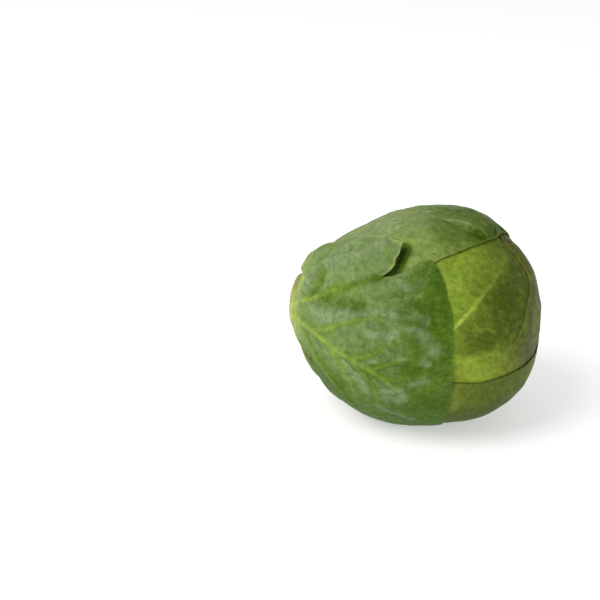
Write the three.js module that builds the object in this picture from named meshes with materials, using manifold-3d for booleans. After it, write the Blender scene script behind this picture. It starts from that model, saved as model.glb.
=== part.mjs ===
// A Brussels sprout as picked, lying on its side: a short cut stem, a tight heart of young leaves,
// and the six outer leaves that wrap it, each lying over the next. Millimetres, +Z up, the cut stem
// towards -X and the crown towards +X. The origin is on the floor, under the middle of the sprout.
import * as THREE from "three";
import { mergeVertices } from "three/addons/utils/BufferGeometryUtils.js";
import Module from "manifold-3d";

const wasm = await Module();
wasm.setup();

// Driving dimensions
const LENGTH = 40;
const DIAMETER = 35;
const FLAT_DEPTH = 1.0; // the underside is pressed flat by this much where the sprout rests
const LEAF_THICKNESS = 0.6;
const LEAF_GAP = 0.4; // clear space between a leaf and the one that it lies on
const STEM_DIAMETER = 10;
const STEM_LENGTH = 7.5;
const STEM_RECESS = 0.7; // the cut end stops this far inside the sprout's length
const STEM_GAP = 0.3;
const STEM_CHAMFER = 0.5;
const CUT_END_SHARE = 0.9; // the cut end's and the inner end's diameters, as shares of the widest
const INNER_END_SHARE = 0.94;
const HEART_LEAF_STEP = 0.5; // each heart leaf stands this far above the next

// The egg form: its profile is a superellipse that goes from tapered at the stem to blunt at the crown
const PROFILE_POWER = 2.025;
const PROFILE_TAPER = 0.225;

// Low swellings and hollows of the whole head: angle from the stem, turn about the axis from the
// front upwards, angular width, and height
const SWELLINGS = [
  { fromStem: 52, turn: 97, width: 32, height: -1.7 },
  { fromStem: 119, turn: 113, width: 24, height: 1.2 },
  { fromStem: 50, turn: -55, width: 28, height: -1.0 },
  { fromStem: 120, turn: -66, width: 25, height: -0.6 },
];

// How a covered leaf comes up again beside the leaf that covers it
const EDGE_CLEARANCE = 0.8;
const EDGE_FADE = 10;

// Mesh density, in cells along one side of a leaf's sheet
const LEAF_CELLS = 16;
const HEART_LEAF_CELLS = 10;
const HEART_DETAIL = 6;
const STEM_SIDES = 28;
const WELD_DISTANCE = 1e-4; // corners of one solid closer than this are one corner

// The outer leaves, outermost first. Each is a flat blank laid over the head with its middle at a
// place given by angle from the stem and turn. Its outline is its reach from that middle, every 30
// degrees, from the tip towards increasing turn, then the base at the stem, and back.
const WRAPPER_LEAVES = [
  {
    name: "leaf_front",
    fromStem: 72,
    turn: -14,
    reach: [15, 17, 22, 23, 23, 22, 22, 20, 25, 28, 22, 16],
    colour: 0x5f8a3c,
  },
  {
    name: "leaf_top",
    fromStem: 78,
    turn: 116,
    reach: [17, 18, 22, 24, 23, 21, 20, 21, 22, 23, 21, 18],
    colour: 0x6f9442,
  },
  {
    name: "leaf_under",
    fromStem: 92,
    turn: -100,
    reach: [25, 25, 26, 24, 23, 23, 24, 25, 27, 28, 27, 25],
    colour: 0x64803a,
  },
  {
    name: "leaf_back",
    fromStem: 88,
    turn: 178,
    reach: [19, 20, 22, 22, 21, 22, 23, 20, 20, 21, 22, 20],
    colour: 0x6b8f40,
  },
  {
    name: "leaf_crown",
    fromStem: 112,
    turn: -128,
    reach: [25, 30, 32, 29, 28, 28, 30, 29, 23, 23, 28, 32],
    colour: 0x87a03a,
  },
  {
    name: "leaf_inner_front",
    fromStem: 92,
    turn: 28,
    reach: [24, 25, 24, 22, 22, 22, 24, 22, 21, 21, 21, 24],
    colour: 0x7a9a32,
  },
];

// The heart's own leaves follow each other round the stem by the golden angle
const GOLDEN_ANGLE = 137.5;
const HEART_LEAF_COUNT = 5;
const HEART_FIRST_TURN = 80;
const HEART_FROM_STEM = 100;
const HEART_REACH = [25, 25, 22, 21, 22, 24, 27, 24, 22, 21, 22, 25];
const HEART_LEAF_DEPTH = 3.2; // a heart leaf is sunk this deep into what it grows over
const HEART_COLOUR = 0xa5b455;
const STEM_COLOUR = 0xd0c27a;

// Waxy leaf skin, the softer sheen of young leaves, and dry cut stem
const LEAF_ROUGHNESS = 0.45;
const HEART_ROUGHNESS = 0.5;
const STEM_ROUGHNESS = 0.7;

// The tear in the front leaf: the corners of the piece that is gone, on the leaf's blank, measured
// from its middle towards the tip and towards increasing turn
const TORN_PIECE = [
  [1.4, 16],
  [3.7, 16.7],
  [9, 20.5],
  [11, 24],
  [4, 27],
  [2.5, 22.5],
  [2.9, 20],
];
// The torn flap stands off the leaf below it
const FLAP_LIFT = { along: 0.5, across: 20, width: 7, height: 0.9 };

const degrees = THREE.MathUtils.degToRad;
const headHeight = DIAMETER / 2 - FLAT_DEPTH;
const leafStep = LEAF_THICKNESS + LEAF_GAP;
const arcRadius = DIAMETER / 2; // a blank's millimetres become angles at this radius

// Unit vector at an angle from the stem's pole and a turn about the axis from the front upwards
function direction(fromStem, turn) {
  const a = degrees(fromStem);
  const t = degrees(turn);
  return new THREE.Vector3(
    -Math.cos(a),
    -Math.sin(a) * Math.cos(t),
    Math.sin(a) * Math.sin(t),
  );
}

// Distance from the middle of the head to its outer surface
const swellings = SWELLINGS.map((s) => ({
  ...s,
  middle: direction(s.fromStem, s.turn),
}));

function headRadius(d) {
  const towardsStem = -d.x;
  const power = PROFILE_POWER - PROFILE_TAPER * towardsStem;
  const across = Math.sqrt(Math.max(0, 1 - d.x * d.x));
  const egg =
    ((2 * Math.abs(d.x)) / LENGTH) ** power +
    ((2 * across) / DIAMETER) ** power;
  let radius = egg ** (-1 / power);
  for (const s of swellings) {
    const away = d.angleTo(s.middle) / degrees(s.width);
    radius += s.height * Math.exp(-away * away);
  }
  const toFloor = d.z < 0 ? headHeight / -d.z : Infinity;
  return Math.min(radius, toFloor);
}

// A leaf's blank: where its points go on the head, and how far a direction is beyond its outline
class Blank {
  constructor({ fromStem, turn, reach }) {
    this.middle = direction(fromStem, turn);
    this.tip = direction(fromStem + 90, turn);
    this.side = direction(90, turn + 90);
    this.reach = reach;
  }

  // Reach at a bearing, by a smooth closed curve through the given reaches
  outline(bearing) {
    const n = this.reach.length;
    const place = ((bearing / (2 * Math.PI)) * n + n) % n;
    const i = Math.floor(place);
    const t = place - i;
    const [a, b, c, d] = [-1, 0, 1, 2].map((k) => this.reach[(i + k + n) % n]);
    return (
      b +
      0.5 *
        t *
        (c - a + t * (2 * a - 5 * b + 4 * c - d + t * (3 * (b - c) + d - a)))
    );
  }

  // Direction of a blank's point, given in millimetres towards the tip and the side
  place(along, across) {
    const distance = Math.hypot(along, across);
    if (distance === 0) return this.middle.clone();
    const angle = distance / arcRadius;
    return this.middle
      .clone()
      .multiplyScalar(Math.cos(angle))
      .addScaledVector(this.tip, (Math.sin(angle) * along) / distance)
      .addScaledVector(this.side, (Math.sin(angle) * across) / distance);
  }

  // Share of its thickness by which the leaf pushes down what lies below it in a direction
  cover(d) {
    const distance = d.angleTo(this.middle) * arcRadius;
    const bearing = Math.atan2(d.dot(this.side), d.dot(this.tip));
    const beyond = distance - this.outline(bearing) - EDGE_CLEARANCE;
    return 1 - THREE.MathUtils.smoothstep(beyond, 0, EDGE_FADE);
  }
}

// How far a surface lies below the head's outer form, under the blanks that cover it
function depthUnder(blanks, step, d) {
  return step * blanks.reduce((sum, blank) => sum + blank.cover(d), 0);
}

// A closed geometry as a solid that can be joined and cut, and back again
function solidOf(geometry) {
  const bare = geometry.clone();
  bare.deleteAttribute("normal");
  bare.deleteAttribute("uv");
  const merged = mergeVertices(bare, WELD_DISTANCE);
  return new wasm.Manifold(
    new wasm.Mesh({
      numProp: 3,
      vertProperties: merged.attributes.position.array,
      triVerts: new Uint32Array(merged.index.array),
    }),
  );
}

function geometryOf(solid) {
  const mesh = solid.getMesh();
  const geometry = new THREE.BufferGeometry();
  geometry.setAttribute(
    "position",
    new THREE.BufferAttribute(mesh.vertProperties, 3),
  );
  geometry.setIndex(new THREE.BufferAttribute(mesh.triVerts, 1));
  geometry.computeVertexNormals();
  return geometry;
}

// The edge of a square sheet of cells, as its vertices in order round it
function sheetEdge(cells) {
  const row = cells + 1;
  const edge = [];
  for (let i = 0; i < cells; i++) edge.push(cells * row + i);
  for (let i = cells; i > 0; i--) edge.push(i * row + cells);
  for (let i = cells; i > 0; i--) edge.push(i);
  for (let i = 0; i < cells; i++) edge.push(i * row);
  return edge;
}

// A leaf: a square sheet rounded to the blank's outline and laid over the head, with an outer face,
// an inner face below it and a rim between them
function leafSolid(blank, cells, outerRadius, thickness) {
  const sheet = new THREE.PlaneGeometry(2, 2, cells, cells);
  const corner = sheet.attributes.position;
  const outer = [];
  const inner = [];
  for (let i = 0; i < corner.count; i++) {
    const x = corner.getX(i) * Math.sqrt(1 - corner.getY(i) ** 2 / 2);
    const y = corner.getY(i) * Math.sqrt(1 - corner.getX(i) ** 2 / 2);
    const reach = blank.outline(Math.atan2(y, x));
    const d = blank.place(x * reach, y * reach);
    const radius = outerRadius(d, x * reach, y * reach);
    outer.push(...d.clone().multiplyScalar(radius));
    inner.push(...d.multiplyScalar(radius - thickness));
  }
  const faces = [...sheet.index.array];
  const index = [...faces];
  const below = corner.count;
  for (let i = 0; i < faces.length; i += 3)
    index.push(faces[i] + below, faces[i + 2] + below, faces[i + 1] + below);
  const edge = sheetEdge(cells);
  edge.forEach((a, i) => {
    const b = edge[(i + 1) % edge.length];
    index.push(b, a, a + below, b, a + below, b + below);
  });
  const geometry = new THREE.BufferGeometry();
  geometry.setAttribute(
    "position",
    new THREE.Float32BufferAttribute([...outer, ...inner], 3),
  );
  geometry.setIndex(index);
  return solidOf(geometry);
}

// A solid turned about the sprout's axis, from pairs of radius and place along the axis
function turnedSolid(profile) {
  const points = profile.map(([radius, along]) => new THREE.Vector2(radius, along));
  const geometry = new THREE.LatheGeometry(points, STEM_SIDES);
  geometry.rotateZ(-Math.PI / 2);
  return solidOf(geometry);
}

const stemRadius = STEM_DIAMETER / 2;
const cutEnd = -LENGTH / 2 + STEM_RECESS;
const innerEnd = cutEnd + STEM_LENGTH;

// The stem: a short peg with a dressed cut end, widest where the leaves grow from it
function stemSolid() {
  const cutRadius = CUT_END_SHARE * stemRadius;
  return turnedSolid([
    [0, cutEnd],
    [cutRadius - STEM_CHAMFER, cutEnd],
    [cutRadius, cutEnd + STEM_CHAMFER],
    [stemRadius, cutEnd + STEM_LENGTH / 3],
    [INNER_END_SHARE * stemRadius, innerEnd],
    [0, innerEnd],
  ]);
}

// The round hole that the leaf bases and the heart leave for the stem, open past its cut end
function stemHoleSolid() {
  const holeRadius = stemRadius + STEM_GAP;
  return turnedSolid([
    [0, -LENGTH],
    [holeRadius, -LENGTH],
    [holeRadius, innerEnd + STEM_GAP],
    [0, innerEnd + STEM_GAP],
  ]);
}

// A punch from well inside the head to well outside it, for the piece torn from a leaf
function punchSolid(blank, corners) {
  const innerRadius = DIAMETER / 4;
  const outerRadius = DIAMETER;
  const shape = new THREE.Shape(corners.map(([x, y]) => new THREE.Vector2(x, y)));
  const punch = new THREE.ExtrudeGeometry(shape, {
    depth: 1,
    bevelEnabled: false,
  });
  const point = punch.attributes.position;
  for (let i = 0; i < point.count; i++) {
    const radius = point.getZ(i) > 0 ? outerRadius : innerRadius;
    const d = blank.place(point.getX(i), point.getY(i)).multiplyScalar(radius);
    point.setXYZ(i, d.x, d.y, d.z);
  }
  return solidOf(punch);
}

const stemHole = stemHoleSolid();
const wrappers = WRAPPER_LEAVES.map((leaf) => new Blank(leaf));

function flapLift(along, across) {
  const away =
    Math.hypot(along - FLAP_LIFT.along, across - FLAP_LIFT.across) /
    FLAP_LIFT.width;
  return FLAP_LIFT.height * Math.exp(-away * away);
}

// An outer leaf, under all the leaves that come before it in the list
function wrapperSolid(order) {
  const isFront = order === 0;
  const covering = wrappers.slice(0, order);
  const outerRadius = (d, along, across) =>
    headRadius(d) -
    depthUnder(covering, leafStep, d) +
    (isFront ? flapLift(along, across) : 0);
  const whole = leafSolid(
    wrappers[order],
    LEAF_CELLS,
    outerRadius,
    LEAF_THICKNESS,
  ).subtract(stemHole);
  return isFront
    ? whole.subtract(punchSolid(wrappers[0], TORN_PIECE))
    : whole;
}

// The heart: its own leaves, one over the next, on a core that they grow from
function heartSolid() {
  const blanks = [];
  for (let i = 0; i < HEART_LEAF_COUNT; i++)
    blanks.push(
      new Blank({
        fromStem: HEART_FROM_STEM,
        turn: HEART_FIRST_TURN + i * GOLDEN_ANGLE,
        reach: HEART_REACH,
      }),
    );
  const under = (count) => (d) =>
    headRadius(d) -
    depthUnder(wrappers, leafStep, d) -
    depthUnder(blanks.slice(0, count), HEART_LEAF_STEP, d);
  const core = new THREE.IcosahedronGeometry(1, HEART_DETAIL);
  const point = core.attributes.position;
  const coreRadius = under(HEART_LEAF_COUNT);
  for (let i = 0; i < point.count; i++) {
    const d = new THREE.Vector3().fromBufferAttribute(point, i).normalize();
    const radius = coreRadius(d);
    point.setXYZ(i, d.x * radius, d.y * radius, d.z * radius);
  }
  const leaves = blanks.map((blank, i) =>
    leafSolid(blank, HEART_LEAF_CELLS, under(i), HEART_LEAF_DEPTH),
  );
  return leaves
    .reduce((whole, leaf) => whole.add(leaf), solidOf(core))
    .subtract(stemHole);
}

const sprout = new THREE.Group();

function addPiece(name, solid, colour, roughness) {
  const material = new THREE.MeshStandardMaterial({
    color: colour,
    roughness,
    metalness: 0,
  });
  const mesh = new THREE.Mesh(geometryOf(solid), material);
  mesh.name = name;
  sprout.add(mesh);
}

addPiece("stem", stemSolid(), STEM_COLOUR, STEM_ROUGHNESS);
addPiece("heart", heartSolid(), HEART_COLOUR, HEART_ROUGHNESS);
WRAPPER_LEAVES.forEach((leaf, order) =>
  addPiece(leaf.name, wrapperSolid(order), leaf.colour, LEAF_ROUGHNESS),
);

// Set the sprout on the floor, with the middle of its length and width over the origin
const box = new THREE.Box3().setFromObject(sprout);
const middle = box.getCenter(new THREE.Vector3());
sprout.position.set(-middle.x, -middle.y, headHeight);

const part = new THREE.Group();
part.add(sprout);

export default part;
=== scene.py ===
import math
from collections import namedtuple
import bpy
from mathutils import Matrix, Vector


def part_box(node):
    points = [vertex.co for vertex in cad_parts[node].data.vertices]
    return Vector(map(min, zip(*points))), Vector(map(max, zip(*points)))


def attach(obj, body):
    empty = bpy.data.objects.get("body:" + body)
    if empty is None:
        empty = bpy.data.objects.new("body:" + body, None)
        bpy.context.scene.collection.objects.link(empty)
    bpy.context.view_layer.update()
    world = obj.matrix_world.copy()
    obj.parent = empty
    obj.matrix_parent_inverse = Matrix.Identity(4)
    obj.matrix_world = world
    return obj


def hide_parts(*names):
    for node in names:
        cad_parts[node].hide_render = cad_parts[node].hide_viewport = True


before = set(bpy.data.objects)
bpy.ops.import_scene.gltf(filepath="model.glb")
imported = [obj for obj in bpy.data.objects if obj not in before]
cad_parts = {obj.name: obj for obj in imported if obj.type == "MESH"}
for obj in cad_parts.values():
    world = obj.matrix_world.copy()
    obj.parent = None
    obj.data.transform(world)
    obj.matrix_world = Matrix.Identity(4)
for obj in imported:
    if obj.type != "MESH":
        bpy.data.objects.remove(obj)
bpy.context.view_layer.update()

from types import SimpleNamespace

import bpy
import numpy as np
from mathutils import Matrix, Vector

bpy.ops.object.select_all(action="DESELECT")

# The stage
# A matt white table top, a broad soft light from the upper left in front, a weak one from the right,
# and the camera, which looks a little down on the sprout, from its front and a little from its crown.
MM = 0.001
LENGTH = 40.0  # of the whole head, in millimetres, as all sizes of the sprout below
STEM_RECESS = 0.7  # the cut end stops this far inside the head's length
PHOTO_SIDE = 600  # pixels
LENS = 80.0
SENSOR = 36.0
AZIMUTH = math.radians(19)
ELEVATION = math.radians(22)
PIXELS_PER_MM = 6.35  # at the middle of the head
HEAD_PIXEL = (413.5, 315.0)  # where the middle of the head shows in the picture
FLOOR_SIDE = 8.0
FLOOR_COLOUR = (0.8, 0.8, 0.8, 1)
FLOOR_GLOW = 0.45  # the table top is lit from below a little, so shadows on it stay pale
WHITE = (1.0, 1.0, 1.0, 1)
WORLD_STRENGTH = 0.5
# Name, place from the middle of the head, width and power
LIGHTS = [
    ("key_light", (-0.25, -0.33, 0.43), 0.42, 2.3),
    ("fill_light", (0.40, -0.45, 0.30), 0.40, 0.2),
]

stem_low, stem_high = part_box("stem")
stem_middle = (stem_low + stem_high) / 2
head_middle = Vector(
    (stem_low.x + (LENGTH / 2 - STEM_RECESS) * MM, stem_middle.y, stem_middle.z)
)

bpy.ops.mesh.primitive_plane_add(size=FLOOR_SIDE)
floor = bpy.context.object
floor.name = "floor"
floor_finish = bpy.data.materials.new("matt white table top")
floor_finish.use_nodes = True
floor_shader = floor_finish.node_tree.nodes["Principled BSDF"]
floor_shader.inputs["Base Color"].default_value = FLOOR_COLOUR
floor_shader.inputs["Roughness"].default_value = 0.9
floor_shader.inputs["Specular IOR Level"].default_value = 0.0
floor_shader.inputs["Emission Color"].default_value = WHITE
floor_shader.inputs["Emission Strength"].default_value = FLOOR_GLOW
floor.data.materials.append(floor_finish)

for name, place, width, power in LIGHTS:
    spot = head_middle + Vector(place)
    bpy.ops.object.light_add(type="AREA", location=spot)
    lamp = bpy.context.object
    lamp.name = name
    lamp.rotation_euler = (head_middle - spot).to_track_quat("-Z", "Y").to_euler()
    lamp.data.shape = "DISK"
    lamp.data.size = width
    lamp.data.energy = power

world = bpy.data.worlds.new("soft white room")
bpy.context.scene.world = world
world.use_nodes = True
sky = world.node_tree.nodes["Background"]
sky.inputs["Color"].default_value = WHITE
sky.inputs["Strength"].default_value = WORLD_STRENGTH
bpy.context.scene.view_settings.view_transform = "Standard"

forward = Vector(
    (
        -math.sin(AZIMUTH) * math.cos(ELEVATION),
        math.cos(AZIMUTH) * math.cos(ELEVATION),
        -math.sin(ELEVATION),
    )
)
rightward = Vector((math.cos(AZIMUTH), math.sin(AZIMUTH), 0))
upward = rightward.cross(forward)
distance = PHOTO_SIDE * LENS / SENSOR / PIXELS_PER_MM * MM
across_picture = (HEAD_PIXEL[0] - PHOTO_SIDE / 2) / PIXELS_PER_MM * MM
down_picture = (HEAD_PIXEL[1] - PHOTO_SIDE / 2) / PIXELS_PER_MM * MM
eye = head_middle - forward * distance - rightward * across_picture + upward * down_picture
bpy.ops.object.camera_add()
camera = bpy.context.object
camera.name = "camera"
camera.data.lens = LENS
camera.data.sensor_width = SENSOR
camera.data.clip_start = 0.01
camera.matrix_world = Matrix.Translation(eye) @ (
    Matrix((rightward, upward, -forward)).transposed().to_4x4()
)
bpy.context.scene.camera = camera

# The stem
# A short peg of pale, fibrous flesh, cut from the stalk with a knife. Every leaf grows from it. The
# cut end has dried: a firm green rim, a pale woody ring, and a pith that has shrunk back a little.
STEM_SIDES = 48
STEM_CUTS = 5
STEM_COLLAR = 1.02  # the flesh swells to the leaf bases that it carries
CUT_TAPER = 0.9
TAPER_SHARE = 0.3  # of the length
# The pith's floor and rim and the woody ring, as shares of the radius
PITH_FLOOR = 0.17
PITH_RIM = 0.62
RING_SHARE = 0.66
RING_WIDTH = 0.09
PITH_DEPTH = 0.45  # millimetres, as the heights that follow
RING_HEIGHT = 0.16
KNIFE_SLANT = 0.3
KNIFE_MARK_SPACING = 0.7
KNIFE_MARK_HEIGHT = 0.035
STEM_SEED = 11
STEM_LUMP_SIZE = 4.0
STEM_LUMP_HEIGHT = 0.16
CUT_LUMPS = 0.5  # share of the lumps' height on the cut end
STEM_EDGE_ROUND = 0.45
STEM_SHARP_ANGLE = math.radians(50)
PITH_COLOUR = (226, 215, 168)
# From the pith outwards: where each ring starts and is full, as shares of the radius, and its colour
FLESH_RINGS = [
    (0.30, 0.52, (205, 186, 118)),
    (0.70, 0.86, (176, 172, 100)),
    (0.92, 1.06, (136, 142, 66)),
]


def seen(red, green, blue):
    """A colour given as it looks on a screen, 0 to 255, as the linear values that shaders take"""
    return tuple(((c / 255 + 0.055) / 1.055) ** 2.4 for c in (red, green, blue)) + (1.0,)


def add_node(tree, kind, inputs=None, **settings):
    """A new node with its settings, and its inputs linked to sockets or set to values"""
    node = tree.nodes.new(kind)
    for name, value in settings.items():
        setattr(node, name, value)
    for key, value in (inputs or {}).items():
        if isinstance(value, bpy.types.NodeSocket):
            tree.links.new(value, node.inputs[key])
        else:
            node.inputs[key].default_value = value
    return node


def mixed(tree, factor, first, second, mode="MIX"):
    """A colour between two others, by a factor"""
    node = add_node(
        tree,
        "ShaderNodeMix",
        {0: factor, 6: first, 7: second},
        data_type="RGBA",
        blend_type=mode,
        clamp_factor=True,
    )
    return node.outputs[2]


def ranged(tree, value, low, high, start=0.0, end=1.0):
    """A value taken smoothly from one range to another, and held at its ends"""
    node = add_node(
        tree,
        "ShaderNodeMapRange",
        {0: value, 1: low, 2: high, 3: start, 4: end},
        interpolation_type="SMOOTHSTEP",
    )
    return node.outputs[0]


def worked(tree, operation, first, second):
    """The result of one sum on two values"""
    return add_node(tree, "ShaderNodeMath", {0: first, 1: second}, operation=operation).outputs[0]


def scaled(tree, value, amount):
    """A value times an amount"""
    return worked(tree, "MULTIPLY", value, amount)


def noise(tree, place, scale, detail=3.0, roughness=0.55):
    """Cloudy noise at a place, from 0 to 1; its scale is in clouds to the place's own unit"""
    node = add_node(
        tree,
        "ShaderNodeTexNoise",
        {"Vector": place, "Scale": scale, "Detail": detail, "Roughness": roughness},
    )
    return node.outputs["Fac"]


def new_finish(name):
    """A new material: its node tree, its shader and where the surface is on the piece"""
    finish = bpy.data.materials.new(name)
    finish.use_nodes = True
    tree = finish.node_tree
    place = add_node(tree, "ShaderNodeTexCoord").outputs["Object"]
    return finish, tree, tree.nodes["Principled BSDF"], place


def corners_of(piece):
    """The piece's vertices as an array"""
    points = np.zeros(len(piece.data.vertices) * 3)
    piece.data.vertices.foreach_get("co", points)
    return points.reshape(-1, 3)


def move_corners(piece, points):
    """Puts the piece's vertices at the points"""
    piece.data.vertices.foreach_set("co", points.astype(np.float32).ravel())
    piece.data.update()


def ripple(points, seed, size, height):
    """Smooth random relief: the sum of a few waves about that long, at points in millimetres"""
    waves = 9
    draw = np.random.default_rng(seed)
    total = np.zeros(len(points))
    for _ in range(waves):
        heading = draw.normal(size=3)
        heading *= 2 * math.pi / size / np.linalg.norm(heading) * draw.uniform(0.7, 1.4)
        total += np.sin(points @ heading + draw.uniform(0, 2 * math.pi))
    return height * total / math.sqrt(waves)


def smooth(value, low, high):
    """0 below the range, 1 above it, and a smooth step between"""
    share = np.clip((value - low) / (high - low), 0, 1)
    return share * share * (3 - 2 * share)


def bell(away, width):
    """1 at no distance, falling smoothly to nothing well past the width"""
    return np.exp(-((away / width) ** 2))


stem_radius = (stem_high.z - stem_low.z) / 2
stem_length = stem_high.x - stem_low.x
bpy.ops.mesh.primitive_cylinder_add(
    vertices=STEM_SIDES,
    radius=stem_radius,
    depth=stem_length,
    end_fill_type="TRIFAN",
    location=stem_middle,
    rotation=(0, math.radians(90), 0),
)
stem = bpy.context.object
stem.name = "cut_stem"
bpy.ops.object.transform_apply(location=True, rotation=True, scale=True)
bpy.ops.object.mode_set(mode="EDIT")
bpy.ops.mesh.subdivide(number_cuts=STEM_CUTS)
bpy.ops.object.mode_set(mode="OBJECT")

# The collar widens to the leaves, and the cut end has its rim, its ring, its pith and knife marks
points = corners_of(stem)
from_axis = points - np.array(stem_middle)
share_in = (points[:, 0] - stem_low.x) / stem_length
share_out = np.hypot(from_axis[:, 1], from_axis[:, 2]) / stem_radius
lumps = ripple(points / MM, STEM_SEED, STEM_LUMP_SIZE, STEM_LUMP_HEIGHT)
widen = CUT_TAPER + (STEM_COLLAR - CUT_TAPER) * smooth(share_in, 0.0, TAPER_SHARE)
widen = widen + lumps * MM / stem_radius
points[:, 1:] = np.array(stem_middle)[1:] + from_axis[:, 1:] * widen[:, None]
on_cut = share_in < 0.001
ring = bell(share_out - RING_SHARE, RING_WIDTH)
dish = PITH_DEPTH * (1 - smooth(share_out, PITH_FLOOR, PITH_RIM))
strokes = (points[:, 2] + KNIFE_SLANT * points[:, 1]) / MM / KNIFE_MARK_SPACING
marks = KNIFE_MARK_HEIGHT * np.sin(2 * math.pi * strokes)
points[:, 0] += np.where(on_cut, dish - RING_HEIGHT * ring + marks + CUT_LUMPS * lumps, 0) * MM
move_corners(stem, points)
rounding = stem.modifiers.new("dried edge", "BEVEL")
rounding.limit_method = "ANGLE"
rounding.angle_limit = STEM_SHARP_ANGLE
rounding.width = STEM_EDGE_ROUND * MM
rounding.segments = 4
bpy.ops.object.modifier_apply(modifier=rounding.name)
bpy.ops.object.shade_smooth_by_angle(angle=STEM_SHARP_ANGLE)

# Pale flesh with yellower and greener rings, brown clouds where the cut has aged, and fine fibres
stem_finish, tree, shader, place = new_finish("dried cut stem")
centred = add_node(
    tree,
    "ShaderNodeMapping",
    {"Vector": place, "Location": (0, -stem_middle.y, -stem_middle.z), "Scale": (0, 1, 1)},
).outputs[0]
out = add_node(tree, "ShaderNodeVectorMath", {0: centred}, operation="LENGTH").outputs["Value"]
cloud = noise(tree, place, 420.0, 4.0, 0.6)
wobbled = worked(tree, "ADD", out, scaled(tree, cloud, 0.0008))
fibres_in = add_node(
    tree, "ShaderNodeMapping", {"Vector": place, "Scale": (160.0, 2600.0, 2600.0)}
).outputs[0]
fibres = noise(tree, fibres_in, 1.0, 3.0, 0.7)
flesh = seen(*PITH_COLOUR)
for start, full, colour in FLESH_RINGS:
    ring = ranged(tree, wobbled, stem_radius * start, stem_radius * full)
    flesh = mixed(tree, ring, flesh, seen(*colour))
flesh = mixed(tree, ranged(tree, cloud, 0.52, 0.78, 0.0, 0.45), flesh, seen(158, 126, 68))
flesh = mixed(tree, ranged(tree, fibres, 0.5, 0.85, 0.0, 0.3), flesh, seen(206, 198, 146))
tree.links.new(flesh, shader.inputs["Base Color"])
tree.links.new(ranged(tree, cloud, 0.2, 0.8, 0.6, 0.85), shader.inputs["Roughness"])
bump = add_node(
    tree,
    "ShaderNodeBump",
    {"Strength": 0.5, "Distance": 0.0002, "Height": worked(tree, "ADD", fibres, cloud)},
)
tree.links.new(bump.outputs[0], shader.inputs["Normal"])
shader.inputs["Subsurface Weight"].default_value = 0.1
shader.inputs["Subsurface Radius"].default_value = (1.0, 0.8, 0.4)
shader.inputs["Subsurface Scale"].default_value = 0.0008
stem.data.materials.append(stem_finish)
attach(stem, "root")
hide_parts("stem")

# The heart
# The young leaves in the middle, so tight that they make one firm body: each follows the last round
# the stem by the golden angle. It fills the head under the outer leaves, which the form below places.
DIAMETER = 35.0
FLAT_DEPTH = 1.0  # the underside is pressed flat by this much where the sprout rests
PROFILE_POWER = 2.025
PROFILE_TAPER = 0.225
# Swellings and hollows of the whole head: angle from the stem, turn from the front upwards,
# width and height
SWELLINGS = [
    (52, 97, 32, -1.7),
    (119, 113, 24, 1.2),
    (50, -55, 28, -0.15),
    (120, -66, 25, -0.1),
]
LEAF_STEP = 0.38  # from one leaf's outside to the next one's
EDGE_CLEARANCE = 0.5
EDGE_FADE = 9.0
HIDDEN_SINK = 1.1  # a leaf lies deeper where another hides it, clear of the other one's hollows
HIDDEN_RANGE = (1.5, 6.0)  # millimetres inside the other one's outline
# The outer leaves, outermost first: angle from the stem and turn of the middle, then the reach from
# there at even steps round, from the tip towards increasing turn
FRONT_REACH = (15.4, 16.1, 17.8, 19.8, 21.9, 22.4, 21.6, 21.9, 22.4, 22.5, 22, 22)
FRONT_REACH += (22, 21, 20, 22, 25, 27, 28, 25.5, 21, 18, 16.3, 15.5)
TOP_REACH = (16.5, 16.9, 18, 20, 22, 23.3, 24, 24, 23, 22, 21, 20.3)
TOP_REACH += (20, 20.4, 21, 22, 23.5, 25, 25.5, 23, 20.5, 19.4, 18.4, 16.9)
UNDER_REACH = (23.9, 24.5, 25.2, 25.4, 26, 25, 24, 23.4, 23, 23, 23, 23.4)
UNDER_REACH += (24, 24.4, 25, 26, 27, 27.7, 28, 27.7, 27, 26, 25, 24.5)
CROWN_REACH = (27.3, 26.9, 28.6, 31.5, 32, 30.7, 29, 28.3, 28, 28, 28, 29)
CROWN_REACH += (30, 30, 29, 26, 23, 22.3, 23, 25, 28, 30.8, 31, 27.1)
OUTER_LEAVES = {
    "front": (72, -14, FRONT_REACH),
    "top": (78, 116, TOP_REACH),
    "under": (92, -100, UNDER_REACH),
    "back": (88, 178, (19, 20, 22, 22, 21, 22, 23, 20, 20, 21, 22, 20)),
    "crown": (112, -128, CROWN_REACH),
    "inner_front": (92, 28, (24, 25, 24, 22, 22, 22, 24, 22, 21, 21, 21, 24)),
}
GOLDEN_ANGLE = 137.5
HEART_LEAVES = 6
HEART_FIRST_TURN = 80
HEART_FROM_STEM = 100
HEART_REACH = (25, 25, 22, 21, 22, 24, 27, 24, 22, 21, 22, 25)
HEART_STEP = 0.34
HEART_CELLS = 70
HEART_MIDRIB = [(-20, 0), (-5, 0.6), (10, -0.4), (22, 0)]
HEART_OUTLINE_SEED = 30
HEART_LUMP_SEED = 50
HEART_LIGHT = 0.5
HEART_BASE_LIGHT = (0.3, 120, 40)  # how much, and over which degrees from the stem
HEART_BASE_SPREAD = (55, 20)
HEART_MARGIN_TINT = 0.5
HEART_MARGIN_LINE = 0.4
CORE_DETAIL = 6
CORE_LIGHT = 0.6
CORE_CLEARANCE = 0.2
CORE_STEM_ROOM = 1.2  # how wide the core's hollow for the stem is, to the stem's own width
LEAF_THICKNESS = 0.3
MARGIN_THICKNESS = 0.13
MARGIN_WIDTH = 3.5
MARGIN_GAP = 0.02  # a margin lies this close on the leaf below it
LEAF_LUMP_SIZE = 9.0
LEAF_LUMP_HEIGHT = 0.10
LEAF_CRINKLE_SIZE = 2.6
LEAF_CRINKLE_HEIGHT = 0.022
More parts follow.
